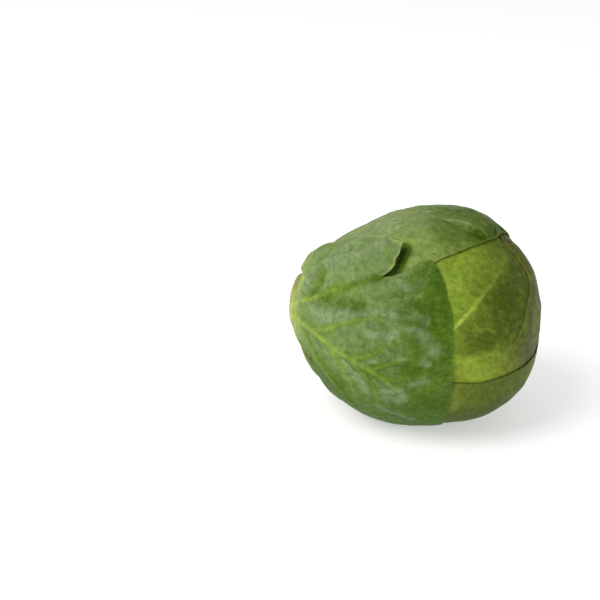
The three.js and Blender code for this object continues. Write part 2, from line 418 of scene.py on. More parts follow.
CELL_DEPTH = 0.14  # the blade sinks a little between its veins
CELL_SLOPE = (0.3, 2.4)  # millimetres from the nearest vein
RIB_WIDTH = 0.85
RIB_SHADE = 0.9
VEIN_BENDS = (1, 0.8, 0.5)  # a side vein's lean in each third of its length
VEIN_TAPER = 0.6  # a vein loses this share of its width along its length
VEIN_FADE = 0.6  # how early it fades, as a power
VEIN_END = 0.85
VEIN_CORE = 0.7  # share of its width that is pale
VEIN_TIP_REACH = 1.5  # the blade is less bound to a vein's tip, as if it were this much further off
VEIN_RISE = (12, 30)  # veins rise from the base, at these degrees from the stem
OUTLINE_WAVE_SIZE = 11.0
OUTLINE_WAVE = 0.16
OUTLINE_NICK_SIZE = 4.0
OUTLINE_NICK = OUTLINE_WAVE / 3
DIP_WIDTH = 1.5  # a margin dips to the leaf below within about this far
MOST_DIP = 1.2
CALM_WIDTH = 3.0  # a leaf is smooth this near to the margin of one that covers it
LEAF_SHARP_ANGLE = math.radians(55)
# How strongly the net of fine veins, the wax, the flecks and the marks of handling show
NET_SHOW = 0.09
WAX_SHOW = 0.75
FLECK_SHOW = 0.16
SCRATCH_SHOW = 0.35
SPECK_SHOW = 0.6
SPECK_COLOUR = (58, 52, 24)
WAX_DULLNESS = 0.16
# And their shares of the skin's relief
PEBBLE_RELIEF = 0.22
CRINKLE_RELIEF = 2.6
NET_RELIEF = 0.3
SCRATCH_RELIEF = 0.5

head_height = DIAMETER / 2 - FLAT_DEPTH
arc_radius = DIAMETER / 2  # a flat leaf's millimetres become angles at this radius
stem_hole = stem_radius / MM * STEM_COLLAR


def ramp(value, amount, low, high):
    """An amount that comes in smoothly over a range, from its low to its high end"""
    return amount * smooth(value, low, high)


def direction(from_stem, turn):
    """Unit vector at an angle from the stem's end and a turn about the axis from the front upwards"""
    a, t = math.radians(from_stem), math.radians(turn)
    return np.array((-math.cos(a), -math.sin(a) * math.cos(t), math.sin(a) * math.sin(t)))


def head_radius(d):
    """Distance from the middle of the head to its outer form, in the directions d"""
    power = PROFILE_POWER + PROFILE_TAPER * d[:, 0]
    side = np.sqrt(np.clip(1 - d[:, 0] ** 2, 0, 1))
    egg = (2 * np.abs(d[:, 0]) / LENGTH) ** power + (2 * side / DIAMETER) ** power
    radius = egg ** (-1 / power)
    for from_stem, turn, width, height in SWELLINGS:
        away = np.arccos(np.clip(d @ direction(from_stem, turn), -1, 1))
        radius += height * bell(away, math.radians(width))
    to_floor = head_height / np.maximum(-d[:, 2], 1e-6)
    return np.minimum(radius, to_floor)


def between(a, b, c, d, t):
    """The place a share t of the way from b to c, on the smooth curve through a, b, c and d"""
    return b + 0.5 * t * (c - a + t * (2 * a - 5 * b + 4 * c - d + t * (3 * (b - c) + d - a)))


class Blank:
    """A leaf laid flat: where its points go on the head, and how far its outline reaches"""

    def __init__(self, from_stem, turn, reach):
        self.middle = direction(from_stem, turn)
        self.tip = direction(from_stem + 90, turn)
        self.side = direction(90, turn + 90)
        self.reach = np.array(reach, float)

    def outline(self, bearing):
        """How far the leaf reaches from its middle, at bearings from its tip"""
        count = len(self.reach)
        spot = (bearing / (2 * math.pi) * count) % count
        first = np.floor(spot).astype(int)
        around = (self.reach[(first + k) % count] for k in (-1, 0, 1, 2))
        return between(*around, spot - first)

    def place(self, along, across):
        """The directions that flat points have on the head"""
        away = np.hypot(along, across)
        angle = away / arc_radius
        slope = np.where(away > 0, np.sin(angle) / np.maximum(away, 1e-9), 0)
        return (
            np.cos(angle)[:, None] * self.middle
            + (slope * along)[:, None] * self.tip
            + (slope * across)[:, None] * self.side
        )

    def lay_flat(self, d):
        """The flat points of directions on the head, the other way round"""
        away = np.arccos(np.clip(d @ self.middle, -1, 1)) * arc_radius
        bearing = np.arctan2(d @ self.side, d @ self.tip)
        return away * np.cos(bearing), away * np.sin(bearing)

    def beyond(self, d):
        """How far directions are beyond the outline, in millimetres along the head"""
        along, across = self.lay_flat(d)
        return np.hypot(along, across) - self.outline(np.arctan2(across, along))

    def cover(self, d):
        """1 under the leaf's edge, fading to 0 at some way beyond it, and more well inside it"""
        beyond = self.beyond(d)
        faded = smooth(beyond - EDGE_CLEARANCE, 0, EDGE_FADE)
        return 1 - faded + HIDDEN_SINK * smooth(-beyond, *HIDDEN_RANGE)


# A vein has its points on the flat leaf, its width, its height and how pale it is
Vein = namedtuple("Vein", "points width height shade")


def smooth_line(points, steps=5):
    """Points along a smooth curve through the given ones"""
    p = np.array([points[0], *points, points[-1]], float)
    line = []
    for around in zip(p, p[1:], p[2:], p[3:]):
        line += [between(*around, t) for t in np.arange(steps) / steps]
    return np.array([*line, p[-1]])


def from_line(along, across, line):
    """Distance of flat points from a line, and how far along it the nearest place is, 0 to 1"""
    best = np.full(len(along), 1e9)
    share = np.zeros(len(along))
    spans = np.hypot(*(line[1:] - line[:-1]).T)
    total = max(spans.sum(), 1e-9)
    done = 0.0
    for start, end, span in zip(line, line[1:], spans):
        step = (end - start) / max(span, 1e-9)
        t = np.clip((along - start[0]) * step[0] + (across - start[1]) * step[1], 0, span)
        away = np.hypot(along - start[0] - t * step[0], across - start[1] - t * step[1])
        closer = away < best
        best = np.where(closer, away, best)
        share = np.where(closer, (done + t) / total, share)
        done += span
    return best, share


def pinnate(midrib, pairs, length, lean, width=0.45, height=0.16, shade=0.55, rib=0.42):
    """A midrib, and pairs of side veins that leave it at a lean and curve towards the tip"""
    line = smooth_line(midrib)
    veins = [Vein(midrib, RIB_WIDTH, rib, RIB_SHADE)]
    for k in range(pairs):
        share = (k + 0.7) / (pairs + 0.4)
        i = int(share * (len(line) - 2))
        heading = math.atan2(*(line[i + 1] - line[i])[::-1])
        for side in (1, -1):
            spot = line[i] + 0.5 * side * (line[i + 1] - line[i])
            route = [spot]
            # Towards the tip the side veins lean less, and are shorter and lower
            for bend in VEIN_BENDS:
                angle = heading + side * math.radians(lean * bend * (1.1 - 0.35 * share))
                step = length * (1 - 0.5 * share) / len(VEIN_BENDS)
                route.append(route[-1] + step * np.array((math.cos(angle), math.sin(angle))))
            veins.append(Vein(route, width, height * (1.1 - 0.5 * share), shade))
    return veins


def lay_veins(along, across, veins):
    """At flat points of a leaf: height of its veins, depth of their colour, distance to the nearest"""
    height = np.zeros(len(along))
    shade = np.zeros(len(along))
    nearest = np.full(len(along), 99.0)
    for vein in veins:
        away, share = from_line(along, across, smooth_line(vein.points))
        width = vein.width * (1 - VEIN_TAPER * share)
        fade = np.clip(1 - share, 0, 1) ** VEIN_FADE * (1 - smooth(share, VEIN_END, 1.0))
        height = np.maximum(height, vein.height * fade * bell(away, width))
        shade = np.maximum(shade, vein.shade * fade * bell(away, VEIN_CORE * width))
        nearest = np.minimum(nearest, away + VEIN_TIP_REACH * share)
    return height, shade, nearest


def inside(along, across, corners):
    """Which flat points lie inside a closed outline"""
    found = np.zeros(len(along), bool)
    for (x1, y1), (x2, y2) in zip(corners, corners[1:] + corners[:1]):
        if y1 == y2:
            continue
        crosses = (y1 > across) != (y2 > across)
        found ^= crosses & (along < x1 + (across - y1) * (x2 - x1) / (y2 - y1))
    return found


def nearest_on(along, across, corners):
    """The nearest point to each flat point on a closed outline, and how far off it is"""
    best = np.full(len(along), 1e9)
    x, y = along.copy(), across.copy()
    for (x1, y1), (x2, y2) in zip(corners, corners[1:] + corners[:1]):
        span = (x2 - x1) ** 2 + (y2 - y1) ** 2
        t = np.clip(((along - x1) * (x2 - x1) + (across - y1) * (y2 - y1)) / span, 0, 1)
        px, py = x1 + t * (x2 - x1), y1 + t * (y2 - y1)
        away = np.hypot(along - px, across - py)
        closer = away < best
        best = np.where(closer, away, best)
        x, y = np.where(closer, px, x), np.where(closer, py, y)
    return x, y, best


def flat_leaf(name, blank, cells, seed, torn=()):
    """A flat sheet cut to a blank's outline, with the stem's hole and the torn pieces cut out of it"""
    bpy.ops.object.select_all(action="DESELECT")
    bpy.ops.mesh.primitive_grid_add(x_subdivisions=cells, y_subdivisions=cells, size=2)
    leaf = bpy.context.object
    leaf.name = name
    mesh = leaf.data
    square = corners_of(leaf)
    u = square[:, 0] * np.sqrt(1 - square[:, 1] ** 2 / 2)
    v = square[:, 1] * np.sqrt(1 - square[:, 0] ** 2 / 2)
    bearing = np.arctan2(v, u)
    rim = np.stack((np.cos(bearing), np.sin(bearing), np.zeros(len(u))), 1) * arc_radius
    wave = ripple(rim, seed, OUTLINE_WAVE_SIZE, OUTLINE_WAVE)
    wave += ripple(rim, seed + 1, OUTLINE_NICK_SIZE, OUTLINE_NICK)
    reach = blank.outline(bearing) + wave * np.hypot(u, v) ** 4
    edge = (1 - np.hypot(u, v)) * reach
    flat = np.stack((u * reach, v * reach, np.zeros(len(u))), 1)
    move_corners(leaf, flat)
    mesh.attributes.new("edge", "FLOAT", "POINT").data.foreach_set("value", edge.astype(np.float32))

    # Cells over the stem or in a torn piece go, and the corners left at a cut slide on to its line
    quads = np.zeros(len(mesh.polygons) * 4, int)
    mesh.polygons.foreach_get("vertices", quads)
    quads = quads.reshape(-1, 4)
    centre = flat[quads].mean(1)
    d = blank.place(centre[:, 0], centre[:, 1])
    off_axis = head_radius(d) * np.sqrt(np.clip(1 - d[:, 0] ** 2, 0, 1))
    gone = (d[:, 0] < 0) & (off_axis < stem_hole)
    cut = np.zeros(len(flat), np.int32)
    cut[quads[gone]] = 1
    for i, corners in enumerate(torn):
        ripped = inside(centre[:, 0], centre[:, 1], corners)
        cut[quads[ripped]] = 2 + i
        gone |= ripped
    mesh.attributes.new("cut", "INT", "POINT").data.foreach_set("value", cut)
    bpy.ops.object.mode_set(mode="EDIT")
    bpy.ops.mesh.select_mode(type="FACE")
    bpy.ops.mesh.select_all(action="DESELECT")
    bpy.ops.object.mode_set(mode="OBJECT")
    mesh.polygons.foreach_set("select", gone)
    bpy.ops.object.mode_set(mode="EDIT")
    bpy.ops.mesh.delete(type="FACE")
    bpy.ops.object.mode_set(mode="OBJECT")
    count = len(mesh.vertices)
    flat = corners_of(leaf)
    along, across = flat[:, 0], flat[:, 1]
    cut = np.zeros(count, np.int32)
    mesh.attributes["cut"].data.foreach_get("value", cut)
    edge = np.zeros(count, np.float32)
    mesh.attributes["edge"].data.foreach_get("value", edge)
    stem_side = cut == 1
    d = blank.place(along, across)
    turned = d[stem_side, 1:] / np.linalg.norm(d[stem_side, 1:], axis=1)[:, None]
    for _ in range(3):
        sine = stem_hole / head_radius(d[stem_side])
        d[stem_side] = np.concatenate((-np.sqrt(1 - sine**2)[:, None], turned * sine[:, None]), 1)
    along[stem_side], across[stem_side] = blank.lay_flat(d[stem_side])
    for i, corners in enumerate(torn):
        x, y, away = nearest_on(along, across, corners)
        rip = cut == 2 + i
        along[rip], across[rip] = x[rip], y[rip]
        edge = np.minimum(edge, np.where(rip, 0, away))
        d = blank.place(along, across)
    mesh.attributes.remove(mesh.attributes["cut"])
    mesh.attributes.remove(mesh.attributes["edge"])
    return leaf, SimpleNamespace(along=along, across=across, d=d, edge=edge)


def wrap_leaf(
    leaf, spot, upper, veins, seed, lift=0.0, depth=0.0, room=HEART_STEP, lumpy=1.0, gap=MARGIN_GAP
):
    """Lays a flat leaf over the head, under the leaves above it, and raises its veins and lumps"""
    spot.height, spot.shade, spot.nearest = lay_veins(spot.along, spot.across, veins)
    radius = head_radius(spot.d)
    radius -= LEAF_STEP * sum((blank.cover(spot.d) for blank in upper), np.zeros(len(radius)))
    dip = np.clip(room - MARGIN_THICKNESS - gap, 0, MOST_DIP)
    radius -= dip * bell(spot.edge, DIP_WIDTH)
    lumps = ripple(spot.d * arc_radius, seed, LEAF_LUMP_SIZE, lumpy * LEAF_LUMP_HEIGHT)
    lumps += ripple(spot.d * arc_radius, seed + 1, LEAF_CRINKLE_SIZE, LEAF_CRINKLE_HEIGHT)
    lumps -= lumpy * CELL_DEPTH * smooth(spot.nearest, *CELL_SLOPE)
    calm = smooth(spot.edge, 0, CALM_WIDTH)
    for blank in upper:
        beyond = blank.beyond(spot.d)
        calm = np.minimum(calm, smooth(np.abs(beyond), 0, CALM_WIDTH))
        spot.height *= smooth(beyond, 0.0, 1.0)
    radius += lumps * calm
    spot.to_stem = np.degrees(np.arccos(np.clip(-spot.d[:, 0], -1, 1)))
    radius += spot.height * smooth(spot.to_stem, *VEIN_RISE) + lift - depth
    points = np.array(head_middle) + spot.d * radius[:, None] * MM
    points[:, 2] = np.maximum(points[:, 2], 0)
    move_corners(leaf, points)


def paint(leaf, **fields):
    """Stores values at the leaf's corners, for its finish to read"""
    for name, values in fields.items():
        values = np.asarray(values, np.float32)
        kind = "FLOAT_VECTOR" if values.ndim == 2 else "FLOAT"
        key = "vector" if values.ndim == 2 else "value"
        leaf.data.attributes.new(name, kind, "POINT").data.foreach_set(key, values.ravel())


def thicken(leaf, edge):
    """Gives a leaf its thickness, inwards and thinner towards its margin"""
    blade = leaf.vertex_groups.new(name="blade")
    thin = MARGIN_THICKNESS / LEAF_THICKNESS
    for i, weight in enumerate(thin + (1 - thin) * smooth(edge, 0, MARGIN_WIDTH)):
        blade.add([i], float(weight), "REPLACE")
    bpy.ops.object.select_all(action="DESELECT")
    leaf.select_set(True)
    bpy.context.view_layer.objects.active = leaf
    body = leaf.modifiers.new("thickness", "SOLIDIFY")
    body.thickness = LEAF_THICKNESS * MM
    body.offset = -1
    body.vertex_group = blade.name
    bpy.ops.object.modifier_apply(modifier=body.name)
    leaf.vertex_groups.clear()
    bpy.ops.object.shade_smooth_by_angle(angle=LEAF_SHARP_ANGLE)


def finish_blade(leaf, spot, **painted):
    """Paints a wrapped leaf for its finish, and gives it its thickness"""
    paint(leaf, flat=np.stack((spot.along, spot.across, 0 * spot.along), 1), **painted)
    thicken(leaf, spot.edge)


def new_group(name, inputs, outputs):
    """An empty node group with named sockets: its tree, its input node and its output node"""
    tree = bpy.data.node_groups.new(name, "ShaderNodeTree")
    for socket, kind in inputs.items():
        tree.interface.new_socket(socket, in_out="INPUT", socket_type=kind)
    for socket in outputs:
        tree.interface.new_socket(socket, in_out="OUTPUT", socket_type="NodeSocketFloat")
    return tree, add_node(tree, "NodeGroupInput").outputs, add_node(tree, "NodeGroupOutput").inputs


def mottle_group():
    """Cloudy change of tone over a leaf, broad and fine, and small pale flecks"""
    tree, given, result = new_group(
        "leaf mottle", {"Place": "NodeSocketVector"}, ("Broad", "Fine", "Flecks")
    )
    tree.links.new(noise(tree, given["Place"], 150.0, 2.0), result["Broad"])
    tree.links.new(noise(tree, given["Place"], 1100.0, 5.0, 0.65), result["Fine"])
    flecks = noise(tree, given["Place"], 2400.0, 2.0, 0.5)
    tree.links.new(ranged(tree, flecks, 0.58, 0.74), result["Flecks"])
    return tree


def bloom_group():
    """Grey wax that lies in clouds where the mask allows it, powdery and with frayed edges"""
    tree, given, result = new_group(
        "wax bloom", {"Place": "NodeSocketVector", "Mask": "NodeSocketFloat"}, ("Amount",)
    )
    fray = noise(tree, given["Place"], 500.0, 7.0, 0.7)
    torn = worked(tree, "MULTIPLY", worked(tree, "SUBTRACT", fray, 0.5), 1.45)
    cloud = ranged(tree, worked(tree, "ADD", given["Mask"], torn), 0.12, 1.1)
    powder = ranged(tree, noise(tree, given["Place"], 2600.0, 3.0, 0.6), 0.32, 0.6, 0.6, 1.0)
    tree.links.new(worked(tree, "MULTIPLY", cloud, powder), result["Amount"])
    return tree


def net_group():
    """The net of fine veins between the main ones, on the flat leaf in millimetres"""
    tree, given, result = new_group("fine veins", {"Flat": "NodeSocketVector"}, ("Lines",))
    bend = add_node(tree, "ShaderNodeTexNoise", {"Vector": given["Flat"], "Scale": 0.35, "Detail": 2.0})
    shifted = add_node(
        tree,
        "ShaderNodeVectorMath",
        {0: bend.outputs["Color"], 1: (3.0, 3.0, 0.0)},
        operation="MULTIPLY",
    )
    bent = add_node(
        tree, "ShaderNodeVectorMath", {0: given["Flat"], 1: shifted.outputs[0]}, operation="ADD"
    )
    lines = []
    for scale, width, strength in ((0.38, 0.05, 1.0), (0.95, 0.07, 0.55)):
        cells = add_node(
            tree,
            "ShaderNodeTexVoronoi",
            {"Vector": bent.outputs[0], "Scale": scale},
            feature="DISTANCE_TO_EDGE",
            voronoi_dimensions="2D",
        )
        lines.append(ranged(tree, cells.outputs["Distance"], 0.0, width, strength, 0.0))
    tree.links.new(worked(tree, "MAXIMUM", *lines), result["Lines"])
    return tree


def wear_group():
    """Marks of handling: small dark specks, and pale scratches along the leaf"""
    tree, given, result = new_group(
        "specks and scratches",
        {"Place": "NodeSocketVector", "Flat": "NodeSocketVector"},
        ("Specks", "Scratches"),
    )
    spots = add_node(
        tree, "ShaderNodeTexVoronoi", {"Vector": given["Place"], "Scale": 420.0}, feature="F1"
    )
    chance = add_node(tree, "ShaderNodeSeparateColor", {0: spots.outputs["Color"]})
    size = ranged(tree, chance.outputs[0], 0.90, 1.0, 0.0, 0.1)
    speck = worked(tree, "LESS_THAN", spots.outputs["Distance"], size)
    tree.links.new(speck, result["Specks"])
    stretched = add_node(
        tree, "ShaderNodeMapping", {"Vector": given["Flat"], "Scale": (0.22, 3.2, 1.0)}
    )
    hair = noise(tree, stretched.outputs[0], 1.0, 3.0, 0.5)
    patch = noise(tree, given["Place"], 200.0, 1.0)
    scratch = worked(tree, "MULTIPLY", ranged(tree, hair, 0.64, 0.72), ranged(tree, patch, 0.5, 0.65))
    tree.links.new(scratch, result["Scratches"])
    return tree


def grain_group():
    """The pebbled skin of a leaf, and the crinkles that run along it"""
    tree, given, result = new_group(
        "leaf grain", {"Place": "NodeSocketVector", "Flat": "NodeSocketVector"}, ("Pebbles", "Crinkles")
    )
    cells = add_node(
        tree, "ShaderNodeTexVoronoi", {"Vector": given["Place"], "Scale": 3200.0}, feature="SMOOTH_F1"
    )
    fine = noise(tree, given["Place"], 4200.0, 3.0, 0.6)
    tree.links.new(worked(tree, "ADD", cells.outputs["Distance"], fine), result["Pebbles"])
    drawn = add_node(tree, "ShaderNodeMapping", {"Vector": given["Flat"], "Scale": (0.6, 1.15, 1.0)})
    tree.links.new(noise(tree, drawn.outputs[0], 1.0, 5.0, 0.62), result["Crinkles"])
    return tree


MOTTLE = mottle_group()
BLOOM = bloom_group()
NET = net_group()
WEAR = wear_group()
GRAIN = grain_group()


def leaf_finish(name, deep, light, vein, base, wax, margin):
    """Leaf skin: green from deep to light, pale veins and base, grey wax, and the marks of handling"""
    finish, tree, shader, place = new_finish(name)

    def painted(attribute, socket="Fac"):
        return add_node(tree, "ShaderNodeAttribute", attribute_name=attribute).outputs[socket]

    def placed(group, inputs):
        return add_node(tree, "ShaderNodeGroup", inputs, node_tree=group).outputs

    flat = painted("flat", "Vector")
    tone = placed(MOTTLE, {"Place": place})
    lines = placed(NET, {"Flat": flat})["Lines"]
    wear = placed(WEAR, {"Place": place, "Flat": flat})
    # The wax mask also carries painted highlights on narrow folds' crests and the top leaf's pucker lip
    amount = placed(BLOOM, {"Place": place, "Mask": painted("bloom")})["Amount"]
    grain = placed(GRAIN, {"Place": place, "Flat": flat})

    # The painted lightness holds the leaf's own tone, and on some leaves painted shade and painted
    # light
    lightness = painted("light")
    for change, most in ((tone["Broad"], 0.15), (grain["Crinkles"], 0.12)):
        lightness = worked(tree, "ADD", lightness, ranged(tree, change, 0.3, 0.7, -most, most))
    colour = mixed(tree, lightness, deep, light)
    # Painted shade: below 0, the painted lightness darkens the colour further, down to 40 per cent
    painted_shade_darkening = ranged(tree, lightness, -1.5, -0.5, 0.4, 1.0)
    colour = mixed(tree, 1.0, colour, painted_shade_darkening, "MULTIPLY")
    colour = mixed(tree, scaled(tree, lines, NET_SHOW), colour, vein)
    colour = mixed(tree, painted("vein"), colour, vein)
    colour = mixed(tree, painted("base"), colour, base)
    colour = mixed(tree, scaled(tree, amount, WAX_SHOW), colour, wax)
    colour = mixed(tree, painted("margin"), colour, margin)
    colour = mixed(tree, scaled(tree, tone["Flecks"], FLECK_SHOW), colour, vein)
    colour = mixed(tree, scaled(tree, wear["Scratches"], SCRATCH_SHOW), colour, wax)
    colour = mixed(tree, 1.0, colour, ranged(tree, tone["Fine"], 0.3, 0.7, 0.77, 1.23), "MULTIPLY")
    colour = mixed(tree, scaled(tree, wear["Specks"], SPECK_SHOW), colour, seen(*SPECK_COLOUR))
    tree.links.new(colour, shader.inputs["Base Color"])

    dull = ranged(tree, tone["Fine"], 0.2, 0.8, 0.40, 0.52)
    dull = worked(tree, "ADD", dull, scaled(tree, amount, WAX_DULLNESS))
    tree.links.new(dull, shader.inputs["Roughness"])
    relief = scaled(tree, grain["Pebbles"], PEBBLE_RELIEF)
    relief = worked(tree, "ADD", relief, scaled(tree, grain["Crinkles"], CRINKLE_RELIEF))
    relief = worked(tree, "ADD", relief, scaled(tree, lines, NET_RELIEF))
    relief = worked(tree, "SUBTRACT", relief, scaled(tree, wear["Scratches"], SCRATCH_RELIEF))
    bump = add_node(tree, "ShaderNodeBump", {"Strength": 0.75, "Distance": 0.00016, "Height": relief})
    tree.links.new(bump.outputs[0], shader.inputs["Normal"])
    shader.inputs["Specular IOR Level"].default_value = 0.06
    shader.inputs["Subsurface Weight"].default_value = 0.08
    shader.inputs["Subsurface Radius"].default_value = (0.8, 1.0, 0.25)
    shader.inputs["Subsurface Scale"].default_value = 0.0006
    return finish


def dress(leaf, finish, node):
    """Gives a piece its finish, hangs it on the root body and hides the solid that it stands for"""
    leaf.data.materials.clear()
    leaf.data.materials.append(finish)
    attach(leaf, "root")
    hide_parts(node)


outer_blanks = {name: Blank(*values) for name, values in OUTER_LEAVES.items()}
heart_turns = [HEART_FIRST_TURN + i * GOLDEN_ANGLE for i in range(HEART_LEAVES)]
heart_blanks = [Blank(HEART_FROM_STEM, turn, HEART_REACH) for turn in heart_turns]


def depth_in_heart(d, count):
    """How deep a place lies under the first few of the heart's leaves"""
    return HEART_STEP * sum((blank.cover(d) for blank in heart_blanks[:count]), np.zeros(len(d)))


bpy.ops.object.select_all(action="DESELECT")
bpy.ops.mesh.primitive_ico_sphere_add(subdivisions=CORE_DETAIL, radius=1)
heart = bpy.context.object
heart.name = "heart_leaves"
ball = corners_of(heart)
ball /= np.linalg.norm(ball, axis=1)[:, None]
core_depth = LEAF_STEP * sum(blank.cover(ball) for blank in outer_blanks.values())
core_depth += depth_in_heart(ball, HEART_LEAVES) + CORE_CLEARANCE
core_points = ball * (head_radius(ball) - core_depth)[:, None]
hollow = stem_length / MM + STEM_RECESS - LENGTH / 2 + CORE_CLEARANCE
over = np.hypot(core_points[:, 1], core_points[:, 2]) < stem_hole * CORE_STEM_ROOM
core_points[over & (core_points[:, 0] < hollow), 0] = hollow
move_corners(heart, np.array(head_middle) + core_points * MM)
zero = np.zeros(len(ball))
paint(heart, light=zero + CORE_LIGHT, flat=ball * arc_radius)
paint(heart, vein=zero, base=zero, bloom=zero, margin=zero)
for i, blank in enumerate(heart_blanks):
    leaf, spot = flat_leaf(f"heart_leaf_{i}", blank, HEART_CELLS, HEART_OUTLINE_SEED + i)
    veins = pinnate(HEART_MIDRIB, pairs=5, length=15, lean=62)
    deeper = depth_in_heart(spot.d, i)
    wrap_leaf(leaf, spot, outer_blanks.values(), veins, HEART_LUMP_SEED + i, depth=deeper)
    finish_blade(
        leaf,
        spot,
        light=HEART_LIGHT + ramp(spot.to_stem, *HEART_BASE_LIGHT),
        vein=spot.shade,
        base=smooth(spot.to_stem, *HEART_BASE_SPREAD),
        bloom=np.zeros(len(spot.d)),
        margin=HEART_MARGIN_TINT * bell(spot.edge, HEART_MARGIN_LINE),
    )
    bpy.ops.object.select_all(action="DESELECT")
    leaf.select_set(True)
    heart.select_set(True)
    bpy.context.view_layer.objects.active = heart
    bpy.ops.object.join()
bpy.ops.object.shade_smooth_by_angle(angle=LEAF_SHARP_ANGLE)
heart_finish = leaf_finish(
    "young heart leaf",
    deep=seen(140, 152, 62),
    light=seen(186, 190, 104),
    vein=seen(204, 204, 134),
    base=seen(222, 216, 160),
    wax=seen(190, 198, 160),
    margin=seen(200, 196, 116),
)
dress(heart, heart_finish, "heart")

# The inner front leaf
# A younger, yellower leaf that shows to the right of the front leaf. A bright side vein crosses it
# aslant: the blade is clear yellow-green on the front leaf's side of it, and olive beyond.
INNER_MIDRIB = [(-20, -8), (-8, -10), (4, -10.5), (14, -10), (22, -8)]
SLANT = [
    (7.5, -5.6),
    (9.1, -2.9),
    (10.4, -0.8),
    (11.7, 1.3),
    (13.0, 3.8),
    (14.3, 6.2),
    (15.5, 9.0),
    (16.5, 12.0),
]
SLANT_FORKS = [[(11.6, 1.0), (14.4, 1.6), (17.2, 2.6)], [(13.6, 5.0), (16.2, 6.4), (18.6, 8.4)]]
SLANT_DULL = (0.35, -1.0, 3.0)  # the vein loses this much of its paleness in its upper part
# Pale marks of rubbing: their line and width
RUBBED = [
    ([(7.5, 3.9), (8.4, 3.6), (9.4, 3.4), (10.4, 3.0)], 0.4),
    ([(12.0, -1.2), (12.5, -1.7), (13.2, -2.2), (13.8, -1.8), (14.6, -1.9), (15.4, -2.1)], 0.14),
]
RUBBED_PALE = 0.3
RUBBED_WAX = 0.25
INNER_WAX = 0.05
# How light the blade is by the front leaf, and how much darker towards the crown, low down and past
# the bright vein, with the ranges that this comes in over
INNER_LIGHT = 0.88
CROWN_SHADE = (0.62, 8.0, 16.0)
LOW_SHADE = (0.25, 0.0, 4.0)
OLIVE_SHADE = 0.3
OLIVE_WIDTH = 2.4
OLIVE_ACROSS = (-4.0, 0.0)
# A lighter strip along the crown leaf's margin, in front
GLOW = 0.75
GLOW_WIDTH = 1.3
GLOW_FORWARD = (0.3, 0.65)
# On several leaves: the pale base, in degrees from the stem, the wax, which starts this far from a
# vein, and the margin's own tint
BASE_SPREAD = (40, 15)
WAX_FROM_VEIN = (0.3, 1.5)
MARGIN_TINT = 0.35
MARGIN_LINE = 0.35
REST_WIDTH = 1.5  # a margin rests on the leaf below it to this far past that leaf's own margin


def covering(name):
    """The blanks of the leaves that lie over the named one"""
    names = list(OUTER_LEAVES)
    return [outer_blanks[other] for other in names[: names.index(name)]]


def room_under(name, d):
    """How far a named leaf's margin can sink to lie on the first leaf below, or else on the heart"""
    names = list(OUTER_LEAVES)
    depth = LEAF_STEP * outer_blanks[name].cover(d)
    room = np.full(len(d), np.nan)
    for other in names[names.index(name) + 1 :]:
        lower = outer_blanks[other]
        room = np.where(np.isnan(room) & (lower.beyond(d) < REST_WIDTH), depth, room)
        depth = depth + LEAF_STEP * lower.cover(d)
    return np.where(np.isnan(room), depth, room)


def line_at(line, places):
    """Where a line given by its points lies, at places along the first of its two measures"""
    return np.interp(places, [x for x, _ in line], [y for _, y in line])


def stroke(spot, route, width):
    """How near a leaf's flat points are to a smooth line: 1 on it, and 0 well past the width"""
    away, _ = from_line(spot.along, spot.across, smooth_line(route))
    return bell(away, width)


leaf, spot = flat_leaf("inner_front_leaf", outer_blanks["inner_front"], cells=170, seed=101)
veins = pinnate(INNER_MIDRIB, pairs=4, length=15, lean=55, shade=0.2)
veins.append(Vein(SLANT, 0.45, 0.26, 1.0))
veins += [Vein(fork, 0.3, 0.06, 0.15) for fork in SLANT_FORKS]
wrap_leaf(leaf, spot, covering("inner_front"), veins, seed=102, room=room_under("inner_front", spot.d))
past_slant = spot.along - line_at([(y, x) for x, y in SLANT], spot.across)
olive = smooth(past_slant, 0.0, OLIVE_WIDTH) * smooth(spot.across, *OLIVE_ACROSS)
from_crown_leaf = np.maximum(outer_blanks["crown"].beyond(spot.d), 0)
glow = bell(from_crown_leaf, GLOW_WIDTH) * smooth(-spot.d[:, 1], *GLOW_FORWARD)
rubbed = np.max([stroke(spot, route, width) for route, width in RUBBED], axis=0)
finish_blade(
    leaf,
    spot,
    light=INNER_LIGHT
    - ramp(spot.along, *CROWN_SHADE)
    - ramp(-spot.across, *LOW_SHADE)
    - OLIVE_SHADE * olive
    + GLOW * glow,
    vein=np.maximum(spot.shade * (1 - ramp(spot.across, *SLANT_DULL)), RUBBED_PALE * rubbed),
    base=smooth(spot.to_stem, *BASE_SPREAD),
    bloom=INNER_WAX * smooth(spot.nearest, *WAX_FROM_VEIN) + RUBBED_WAX * rubbed,
    margin=MARGIN_TINT * bell(spot.edge, MARGIN_LINE),
)
inner_front_finish = leaf_finish(
    "yellow-green inner leaf",
    deep=seen(73, 88, 16),
    light=seen(132, 157, 50),
    vein=seen(172, 188, 78),
    base=seen(196, 198, 110),
    wax=seen(130, 136, 90),
    margin=seen(150, 150, 76),
)
dress(leaf, inner_front_finish, "leaf_inner_front")

